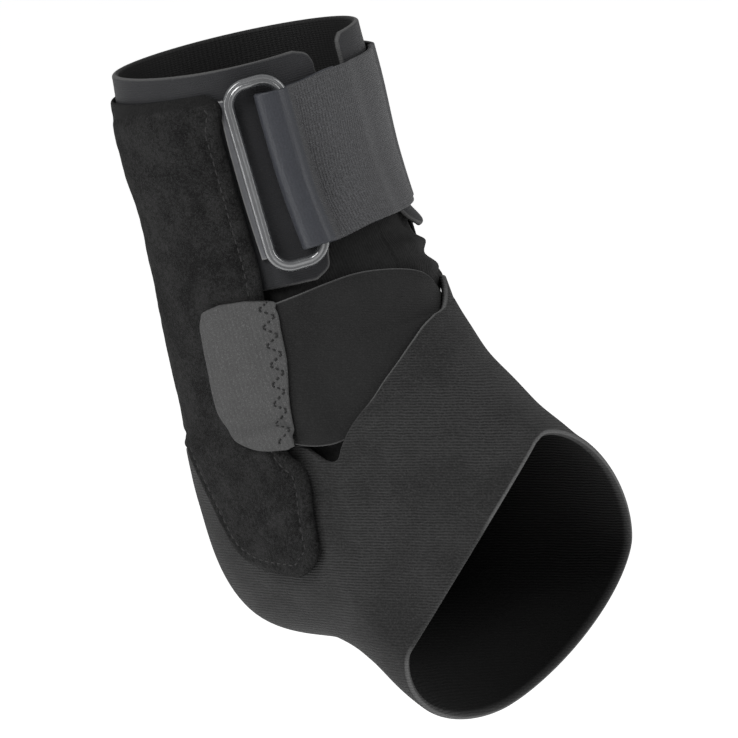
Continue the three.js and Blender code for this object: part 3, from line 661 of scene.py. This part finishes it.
def pad(name, side):
    down = spaced(PAD_FRONT["down"][0], 150, TONGUE_ROOT, 90, TONGUE_END - 0.0002)[:, None]
    turn_in = np.minimum(down, TONGUE_TURN_IN)
    closing = np.clip((down - TONGUE_TURN_IN) / (TONGUE_END - TONGUE_TURN_IN), 0, 1)
    front = pad_front(turn_in)
    back = follow(PAD_BACK, "down", "back", turn_in)
    middle = (front + back) / 2
    narrow = np.sqrt(1 - closing ** 2)
    front = lerp(middle, front, narrow)
    back = lerp(middle, back, narrow)
    col = spaced(0, 86, 1, 70, 2)[None, :]
    turn = np.where(col < 1, lerp(front, back, col), lerp(back, PAD_BACK_TURN, col - 1)) * side
    middle_row = (down[:-1] + down[1:]) / 2
    middle_col = (col[:, :-1] + col[:, 1:]) / 2
    filled = (middle_row < TONGUE_ROOT) | (middle_col < 1)
    if side < 0:
        turn = turn[:, ::-1]
        filled = filled[:, ::-1]

    def relief(turn, down, edge):
        away = (edge - SEAM_IN) / SEAM_SPREAD
        sewn = smooth(down, 0.12, 0.19) * smooth(np.abs(centred(turn)), 160, 140)
        puff = 0.35 * ripple(turn * ARC_PER_DEGREE, run_at(down), 21) * smooth(edge, 3, 10)
        puff = puff + 0.12 * ripple(turn * ARC_PER_DEGREE + 5, run_at(down), 6) * smooth(edge, 0.5, 3)
        return puff - SEAM_DEPTH * np.exp(-away * away) * sewn

    return cloth(name, turn, down, pad_under, pad_over, filled, relief=relief, edge_round=1.7)


# Ankle strap
PAD_SEAM = 1.6
RAMP_TURN = 18.0


def ankle_strap_start(down):
    return np.interp(down, ANKLE_STRAP_START["down"], ANKLE_STRAP_START["turn"]) - PAD_SEAM


def ankle_strap_under(turn, down):
    start = ankle_strap_start(down)
    low = SLEEVE_OUT + LAYER_GAP + WRINKLE_LIFT * wrinkle(turn, down)
    high = PAD_IN + PAD_STAY_WALL - ANKLE_STRAP_WALL
    return lerp(low, high, smooth(turn, start - RAMP_TURN, start - PAD_SEAM))


def ankle_strap():
    along = spaced(0, 160, 1)[::-1][None, :]
    share = spaced(0, 96, 1)[:, None]
    top = follow(ANKLE_STRAP_EDGES, "along", "top", along)
    low = follow(ANKLE_STRAP_EDGES, "along", "low", along)
    down = lerp(top, low, share)
    turn = lerp(ankle_strap_start(down), PAD_SEAM - pad_front(down), along)
    return cloth("ankle_neoprene", turn, down, ankle_strap_under,
                 lambda t, d: ankle_strap_under(t, d) + ANKLE_STRAP_WALL, edge_round=0.9)


# Hook tab
TAB_LEAD = 0.025


def tab_under(turn, down):
    step = np.maximum(0, pad_over(turn, down + TAB_LEAD) - PAD_IN - PAD_STAY_WALL)
    return PAD_IN + PAD_STAY_WALL + LAYER_GAP + step


def hook_tab():
    down = spaced(TAB_EDGES["down"][0], 110, TAB_EDGES["down"][-1])[:, None]
    front = follow(TAB_EDGES, "down", "front", down)
    back = follow(TAB_EDGES, "down", "back", down)
    turn = lerp(front, back, spaced(0, 90, 1)[None, :])
    return cloth("tab_tape", turn, down, tab_under, lambda t, d: tab_under(t, d) + TAB_WALL)


# Ring
STRAP_WIDTH = 49.5
STRAP_MIDDLE = 89.4
STRAP_DROP = 1.6  # how far the strap sinks to the ring, whose middle lies as low
RING_TURN = 41.3
RING_LENGTH = 59.5
RING_WIDTH = 20.0
RING_WIRE = 3.4
RING_CORNER = 8.0
RING_LOW_LIFT = 0.9
KEEPER_WALL = 1.2
KEEPER_REACH = 4.6
KEEPER_TAPER = 1.4
KEEPER_PAD_TURN = 0.9
DEGREES_PER_LENGTH = 180 / math.pi / (LEG_RADIUS + CUFF_OUT + RING_WIRE)
BAR_FROM_MIDDLE = (RING_WIDTH - RING_WIRE) / 2


def ring_frame():
    lift = CUFF_OUT + KEEPER_WALL + LAYER_GAP + RING_WIRE / 2
    half = RING_LENGTH / 2 - RING_WIRE
    top = skin(RING_TURN, down_at_height(STRAP_MIDDLE - STRAP_DROP + half), lift)
    low = skin(RING_TURN, down_at_height(STRAP_MIDDLE - STRAP_DROP - half), lift + RING_LOW_LIFT)
    up = (top - low) / np.linalg.norm(top - low)
    out = np.array((math.cos(math.radians(RING_TURN)), -math.sin(math.radians(RING_TURN)), 0))
    back = np.cross(out, up)
    back /= np.linalg.norm(back)
    return (top + low) / 2, up, back, np.cross(up, back)


def ring():
    middle, up, back, face = ring_frame()
    corner = RING_CORNER - RING_WIRE / 2
    wide = RING_WIDTH / 2 - RING_CORNER
    tall = RING_LENGTH / 2 - RING_CORNER
    path = []
    for k, (x, y) in enumerate(((wide, tall), (-wide, tall), (-wide, -tall), (wide, -tall))):
        for angle in np.radians(np.linspace(90 * k, 90 * k + 90, 25)):
            path.append((x + corner * math.cos(angle), y + corner * math.sin(angle), angle))
    sides = 28
    around = np.arange(sides) * 2 * np.pi / sides
    groove = 1 - 0.30 * np.exp(-((centred(np.degrees(around) - 80) / 15) ** 2))
    points = []
    for x, y, angle in path:
        reach = RING_WIRE / 2 * np.cos(around) * groove
        rise = RING_WIRE / 2 * np.sin(around) * groove
        points.append(middle + np.outer(x + reach * math.cos(angle), back)
                      + np.outer(y + reach * math.sin(angle), up) + np.outer(rise, face))
    points = np.array(points)
    count = len(path)
    index = np.arange(count * sides).reshape(count, sides)
    ahead = np.roll(index, -1, axis=0)
    turned = np.roll(index, -1, axis=1)
    faces = np.stack([index, turned, np.roll(ahead, -1, axis=1), ahead], -1).reshape(-1, 4)
    return make_object("oblong_ring", points.reshape(-1, 3), faces.tolist())


def ring_keeper():
    row = spaced(0, 90, 1)[:, None]
    height = STRAP_MIDDLE - STRAP_DROP + STRAP_WIDTH * (0.5 - row)
    down = down_at_height(height)
    start = RING_TURN + DEGREES_PER_LENGTH * (BAR_FROM_MIDDLE - RING_WIRE / 4)
    end = RING_TURN + DEGREES_PER_LENGTH * (BAR_FROM_MIDDLE + KEEPER_REACH) - KEEPER_TAPER * row
    end = np.minimum(end, PAD_FRONT["front"].min() - KEEPER_PAD_TURN) + 0 * down
    turn = lerp(start, end, spaced(0, 30, 1)[None, :])
    low = CUFF_OUT + LAYER_GAP
    return cloth("keeper_vinyl", turn, down, lambda t, d: low, lambda t, d: low + KEEPER_WALL)


# Calf strap
STRAP_END_TURN = -112.0
STRAP_INNER_LENGTH = 22.0
FOLD_REACH = 8.2
FOLD_CREST = 2.5  # the fold's crest lies this far behind the bar
FOLD_ROOM = 1.3
STRAP_GAP = 0.6
STRAP_LEVEL_TURN = 4.0
SETTLE_TURN = 13.0
SETTLE_MARGIN = 2.5
FAR_RISE_TURN = 6.0
STRAP_HALF = STRAP_WALL / 2
STRAP_FALL = table(
    "along lift",
    (0.00, 1.00), (0.12, 0.96), (0.24, 0.85), (0.36, 0.68), (0.47, 0.48), (0.56, 0.30), (0.64, 0.15),
    (0.74, 0.04), (0.92, 0.02), (1.20, 0.09), (1.60, 0.22), (2.10, 0.25), (2.70, 0.18), (3.30, 0.09),
)


def bar_place(height):
    """Where the ring's front bar passes a height: its turn and its middle's lift off the form."""
    middle, up, back, _ = ring_frame()
    point = middle + up * (height - middle[2]) / up[2] - back * BAR_FROM_MIDDLE
    turn = math.degrees(math.atan2(-point[1], point[0]))
    bare = form_point(turn, down_at_height(height))
    return turn, math.hypot(point[0], point[1]) - math.hypot(bare[0], bare[1])


def strap_line(height):
    """Turn and lift along the strap: an inner layer, a loose fold round the bar, and an outer layer."""
    bar_turn, bar_lift = bar_place(height)
    low = CUFF_OUT + STRAP_GAP + STRAP_HALF
    laid = low + STRAP_WALL + LAYER_GAP
    high = bar_lift + RING_WIRE / 2 + FOLD_ROOM + STRAP_HALF
    reach = FOLD_REACH - STRAP_HALF - FOLD_CREST
    inner = np.linspace(STRAP_INNER_LENGTH, -FOLD_CREST, 30)[:-1]
    angle = np.radians(np.linspace(-90, -270, 40))
    fall = np.linspace(0, STRAP_FALL["along"][-1], 50)[1:]
    along = np.concatenate([inner, reach * np.cos(angle) - FOLD_CREST, fall * FOLD_REACH - FOLD_CREST])
    lift = np.concatenate([
        np.full(len(inner), low),
        (high + low) / 2 + (high - low) / 2 * np.sin(angle),
        lerp(laid, high, follow(STRAP_FALL, "along", "lift", fall)),
    ])
    turn = bar_turn - along * DEGREES_PER_LENGTH
    rest = np.linspace(turn[-1], STRAP_END_TURN, 110)[1:]
    past = smooth(rest, turn[0] - SETTLE_MARGIN, turn[0] - SETTLE_MARGIN - SETTLE_TURN)
    pad_edge = -pad_front(down_at_height(STRAP_MIDDLE))
    rise = smooth(rest, pad_edge + SETTLE_MARGIN + FAR_RISE_TURN, pad_edge + SETTLE_MARGIN)
    on_pad = pad_over(rest - SETTLE_MARGIN, down_at_height(height)) + STRAP_GAP + STRAP_HALF
    falling = lerp(laid, high, STRAP_FALL["lift"][-1])
    laid_on = lerp(falling, laid, smooth(rest, turn[-1], turn[-1] - SETTLE_TURN / 2))
    outer = lerp(lerp(laid_on, low, past), on_pad, rise)
    return np.append(turn, rest), np.append(lift, outer)


def calf_strap():
    heights = spaced(STRAP_MIDDLE + STRAP_WIDTH / 2, 70, STRAP_MIDDLE - STRAP_WIDTH / 2)
    level = bar_place(STRAP_MIDDLE)[0]
    middles, runs = [], []
    for height in heights:
        turn, lift = (line[::-1] for line in strap_line(height))
        drop = STRAP_DROP * smooth(turn, STRAP_LEVEL_TURN, level)
        middles.append(skin(turn, down_at_height(height - drop), lift))
        step = lengths_along(middles[-1])
        runs.append(step[np.argmax(turn)] - step)
    middle = np.array(middles)
    along = np.gradient(middle, axis=1)
    across = np.gradient(middle, axis=0)
    normal = np.cross(along, across)
    normal /= np.linalg.norm(normal, axis=-1, keepdims=True)
    rows, cols = middle.shape[:2]
    filled = np.ones((rows - 1, cols - 1), bool)
    used, rim = vertex_marks(filled, rows, cols, False)
    edge = edge_distance(middle, used, rim)
    share = 1 - np.clip(edge / (STRAP_HALF * 0.9), 0, 1)
    lift = (STRAP_HALF * np.sqrt(1 - share * share))[..., None]
    marks = np.stack([np.array(runs), np.broadcast_to(heights[:, None], (rows, cols)), edge], -1)
    return closed_cloth("strap_webbing", middle + normal * lift, middle - normal * lift, filled, used, rim,
                        False, marks)


# Finishes. Lengths in the node graphs are millimetres, bump depths metres.
RIB_UP = (0.0275, 0.290, 0.957)  # the foot wrap's ribs lie across this direction
HEM_BAND = (11.4, 12.2)  # the hem's smoother band ends between these runs
FOLD_COLUMN = (11.0, 13.0)  # the fold's smooth face ends between these lengths from its crest
TURNED_IN = (45.0, 14.0, 20.0)  # round this arc of the wrap's edge its pale cut side is turned in
CUFF_TINT = (0.96, 0.98, 1.08)
RING_TINT = (0.97, 1.0, 1.05)
KEEPER_TINT = (0.96, 0.98, 1.06)
WEBBING_TINT = (0.97, 0.98, 1.03)
FOLD_TINT = (0.90, 0.96, 1.16)


def stretch_knit():
    graph = Graph("stretch_knit")
    arc, _, _ = graph.marks()
    place = graph.place()
    waver = graph.noise(place, 0.12, 2)
    wales = graph.ribs(arc, 0.95, waver)
    mottle = graph.noise(place, 0.9, 4)
    height = graph.sum((wales, 0.6), (mottle, 0.8))
    colour = graph.mix(mottle, grey(0.004), grey(0.016))
    return graph.finish(Base_Color=colour, Roughness=0.9, Specular_IOR_Level=0.12,
                        Sheen_Weight=0.02, Normal=graph.bump(height, 0.00015))


def smooth_neoprene():
    graph = Graph("smooth_neoprene")
    arc, run, edge = graph.marks()
    place = graph.place()
    cloudy = graph.noise(place, 0.10, 4)
    grain = graph.noise(place, 2.6, 3)
    face = graph.mix(cloudy, grey(0.007, CUFF_TINT), grey(0.017, CUFF_TINT))
    face = graph.mix(graph.times(grain, 0.35), face, grey(0.030, CUFF_TINT))
    ragged = graph.math("MULTIPLY_ADD", grain, 0.7, edge)
    face = graph.mix(graph.line(ragged, 0.5, 1.2), face, grey(0.060))
    inside = graph.mix(graph.ribs(arc, 1.6, cloudy), grey(0.0055), grey(0.0100))
    colour = graph.mix(graph.attribute("outside", 2), inside, face)
    height = graph.sum((grain, 0.7), (graph.ribs(run, 0.7), 0.15))
    return graph.finish(Base_Color=colour, Roughness=0.6, Specular_IOR_Level=0.18,
                        Sheen_Weight=0.01, Sheen_Roughness=0.5, Normal=graph.bump(height, 0.0002))


def ribbed_neoprene():
    graph = Graph("ribbed_neoprene")
    arc, _, edge = graph.marks()
    place = graph.place()
    cloudy = graph.noise(place, 0.06, 5)
    grain = graph.noise(place, 1.9, 4)
    waver = graph.sum((graph.noise(place, 0.09, 2), 1.3), (graph.noise(place, 0.7, 2), 0.55))
    ribs = graph.ribs(graph.along(place, RIB_UP), 0.86, waver)
    patchy = graph.step(graph.noise(place, 0.045, 3), 0.35, 0.65)
    ribbed = graph.times(ribs, graph.math("MULTIPLY_ADD", patchy, 0.30, 0.12))
    face = graph.mix(cloudy, grey(0.0060), grey(0.0130))
    face = graph.mix(ribbed, face, grey(0.060))
    face = graph.mix(graph.times(graph.step(grain, 0.42, 0.75), 0.6), face, grey(0.048))
    ragged = graph.math("MULTIPLY_ADD", grain, 0.7, edge)
    beside = graph.math("ABSOLUTE", graph.math("SUBTRACT", arc, TURNED_IN[0]))
    shown = graph.math("MULTIPLY_ADD", graph.line(beside, *TURNED_IN[1:]), -0.85, 1.0)
    pale = graph.times(graph.line(ragged, 0.45, 1.05), shown)
    face = graph.mix(pale, face, grey(0.085))
    # Painted shade: the dark inside face is lighter within about 1.2 mm of its edge and falls to near black
    # further in, as shade deepens inside the wrap.
    inside = graph.mix(graph.step(ragged, 1.2, 3.2), grey(0.030), grey(0.0022))
    colour = graph.mix(graph.attribute("outside", 2), inside, face)
    height = graph.sum((ribs, 0.55), (grain, 0.7))
    return graph.finish(Base_Color=colour, Roughness=0.85, Specular_IOR_Level=0.14,
                        Sheen_Weight=0.02, Sheen_Roughness=0.5, Normal=graph.bump(height, 0.0004))


def strap_neoprene():
    graph = Graph("strap_neoprene")
    _, _, edge = graph.marks()
    place = graph.place()
    cloudy = graph.noise(place, 0.08, 4)
    grain = graph.noise(place, 2.2, 4)
    waver = graph.noise(place, 0.3, 2)
    ribs = graph.ribs(graph.along(place, RIB_UP), 0.78, waver)
    face = graph.mix(cloudy, grey(0.007), grey(0.013))
    face = graph.mix(graph.times(graph.step(grain, 0.4, 0.75), 0.5), face, grey(0.025))
    ragged = graph.math("MULTIPLY_ADD", grain, 0.6, edge)
    face = graph.mix(graph.line(ragged, 0.35, 0.95), face, grey(0.080))
    height = graph.sum((ribs, 0.3), (grain, 0.7))
    return graph.finish(Base_Color=face, Roughness=0.82, Specular_IOR_Level=0.14,
                        Sheen_Weight=0.02, Normal=graph.bump(height, 0.0002))


def loop_cloth():
    graph = Graph("loop_cloth")
    _, run, _ = graph.marks()
    place = graph.place()
    cloudy = graph.noise(place, 0.11, 5, 0.65)
    loops = graph.noise(place, 1.1, 5, 0.75)
    fuzz = graph.noise(place, 3.2, 3, 0.7)
    nap = graph.sum((cloudy, 0.45), (loops, 0.55))
    colour = graph.mix(graph.step(nap, 0.40, 0.62), grey(0.0014), grey(0.0200))
    colour = graph.mix(graph.times(graph.step(fuzz, 0.50, 0.75), 0.6), colour, grey(0.066))
    band = graph.line(run, HEM_BAND[0], HEM_BAND[1])
    colour = graph.mix(graph.times(band, 0.75), colour, grey(0.0085))
    height = graph.sum((loops, 1.0), (fuzz, 0.5), (cloudy, 0.8))
    return graph.finish(Base_Color=colour, Roughness=0.95, Specular_IOR_Level=0.08,
                        Sheen_Weight=0.025, Sheen_Roughness=0.6, Normal=graph.bump(height, 0.0012))


def ring_plastic():
    graph = Graph("ring_plastic")
    place = graph.place()
    smear = graph.noise(place, 0.22, 4)
    speck = graph.noise(place, 2.5, 3)
    colour = graph.mix(smear, grey(0.028, RING_TINT), grey(0.085, RING_TINT))
    roughness = graph.math("MULTIPLY_ADD", smear, 0.14, 0.16)
    return graph.finish(Base_Color=colour, Roughness=roughness, Specular_IOR_Level=1.0, Coat_Weight=1.0,
                        Coat_Roughness=0.12, Normal=graph.bump(speck, 0.00004))


def keeper_strip():
    graph = Graph("keeper_strip")
    _, _, edge = graph.marks()
    place = graph.place()
    smear = graph.noise(place, 0.35, 4)
    colour = graph.mix(smear, grey(0.050, KEEPER_TINT), grey(0.095, KEEPER_TINT))
    # Painted highlight: the strip is lighter within about 0.7 mm of its edges, where its gloss catches the
    # light.
    colour = graph.mix(graph.line(edge, 0.25, 0.7), colour, grey(0.15))
    return graph.finish(Base_Color=colour, Roughness=0.42, Specular_IOR_Level=0.45,
                        Normal=graph.bump(graph.noise(place, 1.6, 3), 0.00012))


def elastic_webbing():
    graph = Graph("elastic_webbing")
    past_fold, height_up, _ = graph.marks()
    place = graph.place()
    waver = graph.sum((graph.noise(place, 0.16, 3), 1.5), (graph.noise(place, 0.9, 2), 0.5))
    ribs = graph.ribs(past_fold, 0.92, waver)
    picks = graph.ribs(height_up, 0.62, graph.noise(place, 0.5, 2))
    grain = graph.noise(place, 2.0, 4)
    cloudy = graph.noise(place, 0.07, 4)
    face = graph.mix(cloudy, grey(0.019, WEBBING_TINT), grey(0.031, WEBBING_TINT))
    face = graph.mix(graph.times(ribs, 0.4), face, grey(0.072, WEBBING_TINT))
    speckled = graph.times(graph.step(grain, 0.42, 0.7), 0.6)
    face = graph.mix(speckled, face, grey(0.088, WEBBING_TINT))
    column = graph.mix(grain, grey(0.012, FOLD_TINT), grey(0.042, FOLD_TINT))
    folded = graph.line(past_fold, FOLD_COLUMN[0], FOLD_COLUMN[1])
    colour = graph.mix(folded, face, column)
    ribbed = graph.math("SUBTRACT", 1.0, graph.times(folded, 0.85))
    height = graph.sum((ribs, 0.4), (picks, 0.25), (grain, 0.7))
    height = graph.times(height, ribbed)
    roughness = graph.math("MULTIPLY_ADD", folded, -0.24, 0.68)
    return graph.finish(Base_Color=colour, Roughness=roughness, Specular_IOR_Level=0.28,
                        Sheen_Weight=0.03, Sheen_Roughness=0.4, Normal=graph.bump(height, 0.00035))


def hook_tape():
    graph = Graph("hook_tape")
    arc, _, _ = graph.marks()
    place = graph.place()
    cloudy = graph.noise(place, 0.16, 4)
    waver = graph.sum((graph.noise(place, 0.12, 2), 1.2), (graph.noise(place, 0.8, 2), 0.5))
    ribs = graph.ribs(arc, 1.25, waver)
    hooks = graph.noise(place, 2.4, 4, 0.7)
    face = graph.mix(cloudy, grey(0.028), grey(0.046))
    face = graph.mix(graph.times(ribs, 0.18), face, grey(0.068))
    face = graph.mix(graph.step(hooks, 0.5, 0.8), face, grey(0.120))
    face = graph.mix(graph.times(graph.line(hooks, 0.2, 0.42), 0.9), face, grey(0.008))
    height = graph.sum((ribs, 0.15), (hooks, 1.1))
    return graph.finish(Base_Color=face, Roughness=0.7, Specular_IOR_Level=0.3,
                        Normal=graph.bump(height, 0.00022))


def thread(name, dark, light):
    graph = Graph(name)
    twist = graph.noise(graph.place(), 3.0, 3)
    colour = graph.mix(twist, grey(dark), grey(light))
    return graph.finish(Base_Color=colour, Roughness=0.6, Specular_IOR_Level=0.3,
                        Normal=graph.bump(twist, 0.0001))


# Stitches
STITCH_SIDES = 6
STITCH_ENDS = ((-0.5, 0.25), (-0.36, 0.85), (0.0, 1.0), (0.36, 0.85), (0.5, 0.25))


def stitches(name, middles, directions, normals, lengths, radius):
    """One mesh of short thread bars. Each has a middle, a direction, a surface normal and a length."""
    across = np.cross(directions, normals)
    across /= np.linalg.norm(across, axis=1, keepdims=True)
    up = np.cross(across, directions)
    around = np.arange(STITCH_SIDES) * 2 * np.pi / STITCH_SIDES
    rings = []
    for place, size in STITCH_ENDS:
        centre = middles + directions * (lengths * place)[:, None] - up * (radius * (1 - size) * 0.8)
        ring = (centre[:, None] + radius * size * (np.cos(around)[None, :, None] * across[:, None]
                                                   + np.sin(around)[None, :, None] * up[:, None]))
        rings.append(ring)
    points = np.stack(rings, 1)
    count, levels, sides = points.shape[:3]
    index = np.arange(count * levels * sides).reshape(count, levels, sides)
    ahead = np.roll(index, -1, axis=2)
    quads = np.stack([index[:, :-1], ahead[:, :-1], ahead[:, 1:], index[:, 1:]], -1).reshape(-1, 4)
    caps = index[:, 0, ::-1].tolist() + index[:, -1].tolist()
    faces = [tuple(q[::-1]) for q in quads.tolist()] + [tuple(c[::-1]) for c in caps]
    return make_object(name, points.reshape(-1, 3), faces)


def crossings(edge, level):
    """In each row that reaches level, where the edge distance first and last crosses it."""
    found = []
    for i, row in enumerate(edge):
        inside = np.flatnonzero(row > level)
        if len(inside) == 0:
            continue
        first, last = inside[0], inside[-1]
        before = first - (row[first] - level) / max(row[first] - row[first - 1], 1e-6) if first else 0.0
        after = last
        if last + 1 < len(row):
            after = last + (row[last] - level) / max(row[last] - row[last + 1], 1e-6)
        found.append((i, before, after))
    return found


def at_column(grid, row, column):
    low = int(column)
    high = min(low + 1, grid.shape[1] - 1)
    return lerp(grid[row, low], grid[row, high], column - low)


def along_line(points, normals, pitch):
    """Middles, directions and normals of evenly spaced stitches on a line of points."""
    points = np.array(points)
    normals = np.array(normals)
    run = lengths_along(points)
    at = np.arange(pitch / 2, run[-1], pitch)
    place = np.stack([np.interp(at, run, points[:, k]) for k in range(3)], 1)
    ahead = np.stack([np.interp(at + pitch / 3, run, points[:, k]) for k in range(3)], 1)
    back = np.stack([np.interp(at - pitch / 3, run, points[:, k]) for k in range(3)], 1)
    direction = ahead - back
    direction /= np.linalg.norm(direction, axis=1, keepdims=True)
    normal = np.stack([np.interp(at, run, normals[:, k]) for k in range(3)], 1)
    return place, direction, normal


SEAM_ROWS = (9, 150)  # the grid rows where a pad's front seam starts, and its tongue's back seam
SEAM_PITCH = 2.7
SEAM_STITCH = 1.75
SEAM_THREAD = 0.24


def pad_seam(name, pad_name, mirrored):
    outer, normal, edge = FACES[pad_name]
    if mirrored:
        outer, normal, edge = outer[:, ::-1], normal[:, ::-1], edge[:, ::-1]
    found = crossings(edge, SEAM_IN)
    front = [(row, first) for row, first, _ in found if row >= SEAM_ROWS[0]]
    back = [(row, last) for row, _, last in found if row >= SEAM_ROWS[1]][::-1]
    line = front + back
    points = [at_column(outer, row, column) for row, column in line]
    normals = [at_column(normal, row, column) for row, column in line]
    place, direction, up = along_line(points, normals, SEAM_PITCH)
    return stitches(name, place + up * 0.05, direction, up, np.full(len(place), SEAM_STITCH), SEAM_THREAD)


ZIGZAG = (1.0, 2.7, 4.4, 6.1, 4.4, 2.7)  # distance from the tab's front edge at each step of the zigzag
ZIGZAG_STEP = 0.95
ZIGZAG_TOP = 8.2  # along the tab's front edge, from the end of its slanted top
ZIGZAG_LOW = 2.2
TAB_THREAD = 0.33
ZIGZAG_LIFT = 0.06  # a stitch's middle stands this far off the tab's face
ZIGZAG_SHARE = 0.62  # a stitch's size as a share of the way between its two holes


def tab_zigzag():
    outer, normal, _ = FACES["tab_tape"]
    runs = lengths_along(outer[:, 0])
    knots, ups = [], []
    for k, height in enumerate(np.arange(ZIGZAG_TOP, runs[-1] - ZIGZAG_LOW, ZIGZAG_STEP)):
        row = np.interp(height, runs, np.arange(len(runs)))
        low = min(int(row), len(outer) - 2)
        line = lerp(outer[low], outer[low + 1], row - low)
        inward = lengths_along(line)
        reach = ZIGZAG[k % len(ZIGZAG)]
        if reach > inward[-1]:
            continue
        column = np.interp(reach, inward, np.arange(len(inward)))
        knots.append(at_column(line[None], 0, column))
        ups.append(at_column(normal[low][None], 0, column))
    knots = np.array(knots)
    ups = np.array(ups)
    step = np.diff(knots, axis=0)
    lengths = np.linalg.norm(step, axis=1)
    middles = (knots[1:] + knots[:-1]) / 2 + ups[1:] * ZIGZAG_LIFT
    return stitches("tab_zigzag_thread", middles, step / lengths[:, None], ups[1:],
                    lengths * ZIGZAG_SHARE, TAB_THREAD)


# Pieces and what each stands for
PIECES = (
    (inner_sleeve, "inner_sleeve", "stretch_knit", stretch_knit),
    (leg_cuff, "leg_cuff", "smooth_neoprene", smooth_neoprene),
    (foot_wrap, "foot_wrap", "ribbed_neoprene", ribbed_neoprene),
    (ankle_strap, "ankle_strap", "strap_neoprene", strap_neoprene),
    (lambda: pad("lateral_loop_pad", 1), "lateral_pad", "loop_cloth", loop_cloth),
    (lambda: pad("medial_loop_pad", -1), "medial_pad", "loop_cloth", loop_cloth),
    (ring, "ring", "ring_plastic", ring_plastic),
    (ring_keeper, "ring_keeper", "keeper_strip", keeper_strip),
    (calf_strap, "calf_strap", "elastic_webbing", elastic_webbing),
    (hook_tab, "hook_tab", "hook_tape", hook_tape),
)
finishes = {}
for make, node, slot, finish in PIECES:
    piece = make()
    if slot not in finishes:
        finishes[slot] = finish()
    piece.data.materials.append(finishes[slot])
    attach(piece, "root")
    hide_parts(node)

seam_thread = thread("seam_thread", 0.010, 0.030)
tab_thread = thread("tab_thread", 0.003, 0.010)
zigzag = tab_zigzag()
for piece, slot, finish in (
    (pad_seam("lateral_seam_thread", "lateral_loop_pad", False), "loop_cloth", seam_thread),
    (pad_seam("medial_seam_thread", "medial_loop_pad", True), "loop_cloth", seam_thread),
    (zigzag, "hook_tape", tab_thread),
):
    piece.data.materials.append(finish)
    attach(piece, "root")


# Floor and light
FLOOR_DROP = 0.45
FLOOR_REACH = 9.0
FLOOR_GLOW = 0.60
WORLD_STRENGTH = 0.42


def make_floor():
    corners = [(-1, -1), (1, -1), (1, 1), (-1, 1)]
    mesh = bpy.data.meshes.new("floor")
    points = [(x * FLOOR_REACH, y * FLOOR_REACH, -FLOOR_DROP) for x, y in corners]
    mesh.from_pydata(points, [], [(0, 1, 2, 3)])
    floor = bpy.data.objects.new("floor", mesh)
    bpy.context.scene.collection.objects.link(floor)
    graph = Graph("pale_floor")
    mesh.materials.append(graph.finish(Base_Color=grey(0.95), Roughness=0.9, Specular_IOR_Level=0.0,
                                       Emission_Color=grey(1.0), Emission_Strength=FLOOR_GLOW))


def make_light(name, azimuth, elevation, distance, size, power):
    turn = math.radians(azimuth)
    rise = math.radians(elevation)
    away = Vector((math.sin(turn) * math.cos(rise), -math.cos(turn) * math.cos(rise), math.sin(rise)))
    data = bpy.data.lights.new(name, "AREA")
    data.shape = "RECTANGLE"
    data.size, data.size_y = size
    data.energy = power
    lamp = bpy.data.objects.new(name, data)
    lamp.location = away * distance
    lamp.rotation_euler = away.to_track_quat("Z", "Y").to_euler()
    bpy.context.scene.collection.objects.link(lamp)


def make_world():
    world = bpy.data.worlds.new("studio")
    world.use_nodes = True
    world.node_tree.nodes["Background"].inputs["Color"].default_value = (1, 1, 1, 1)
    world.node_tree.nodes["Background"].inputs["Strength"].default_value = WORLD_STRENGTH
    bpy.context.scene.world = world
    bpy.context.scene.view_settings.view_transform = "Standard"


make_floor()
make_world()
make_light("key", 10, 50, 1.4, (0.6, 0.6), 13)
make_light("side", 120, 25, 1.2, (0.4, 0.9), 6)
make_light("strip", -22, 8, 1.2, (0.16, 1.2), 5)
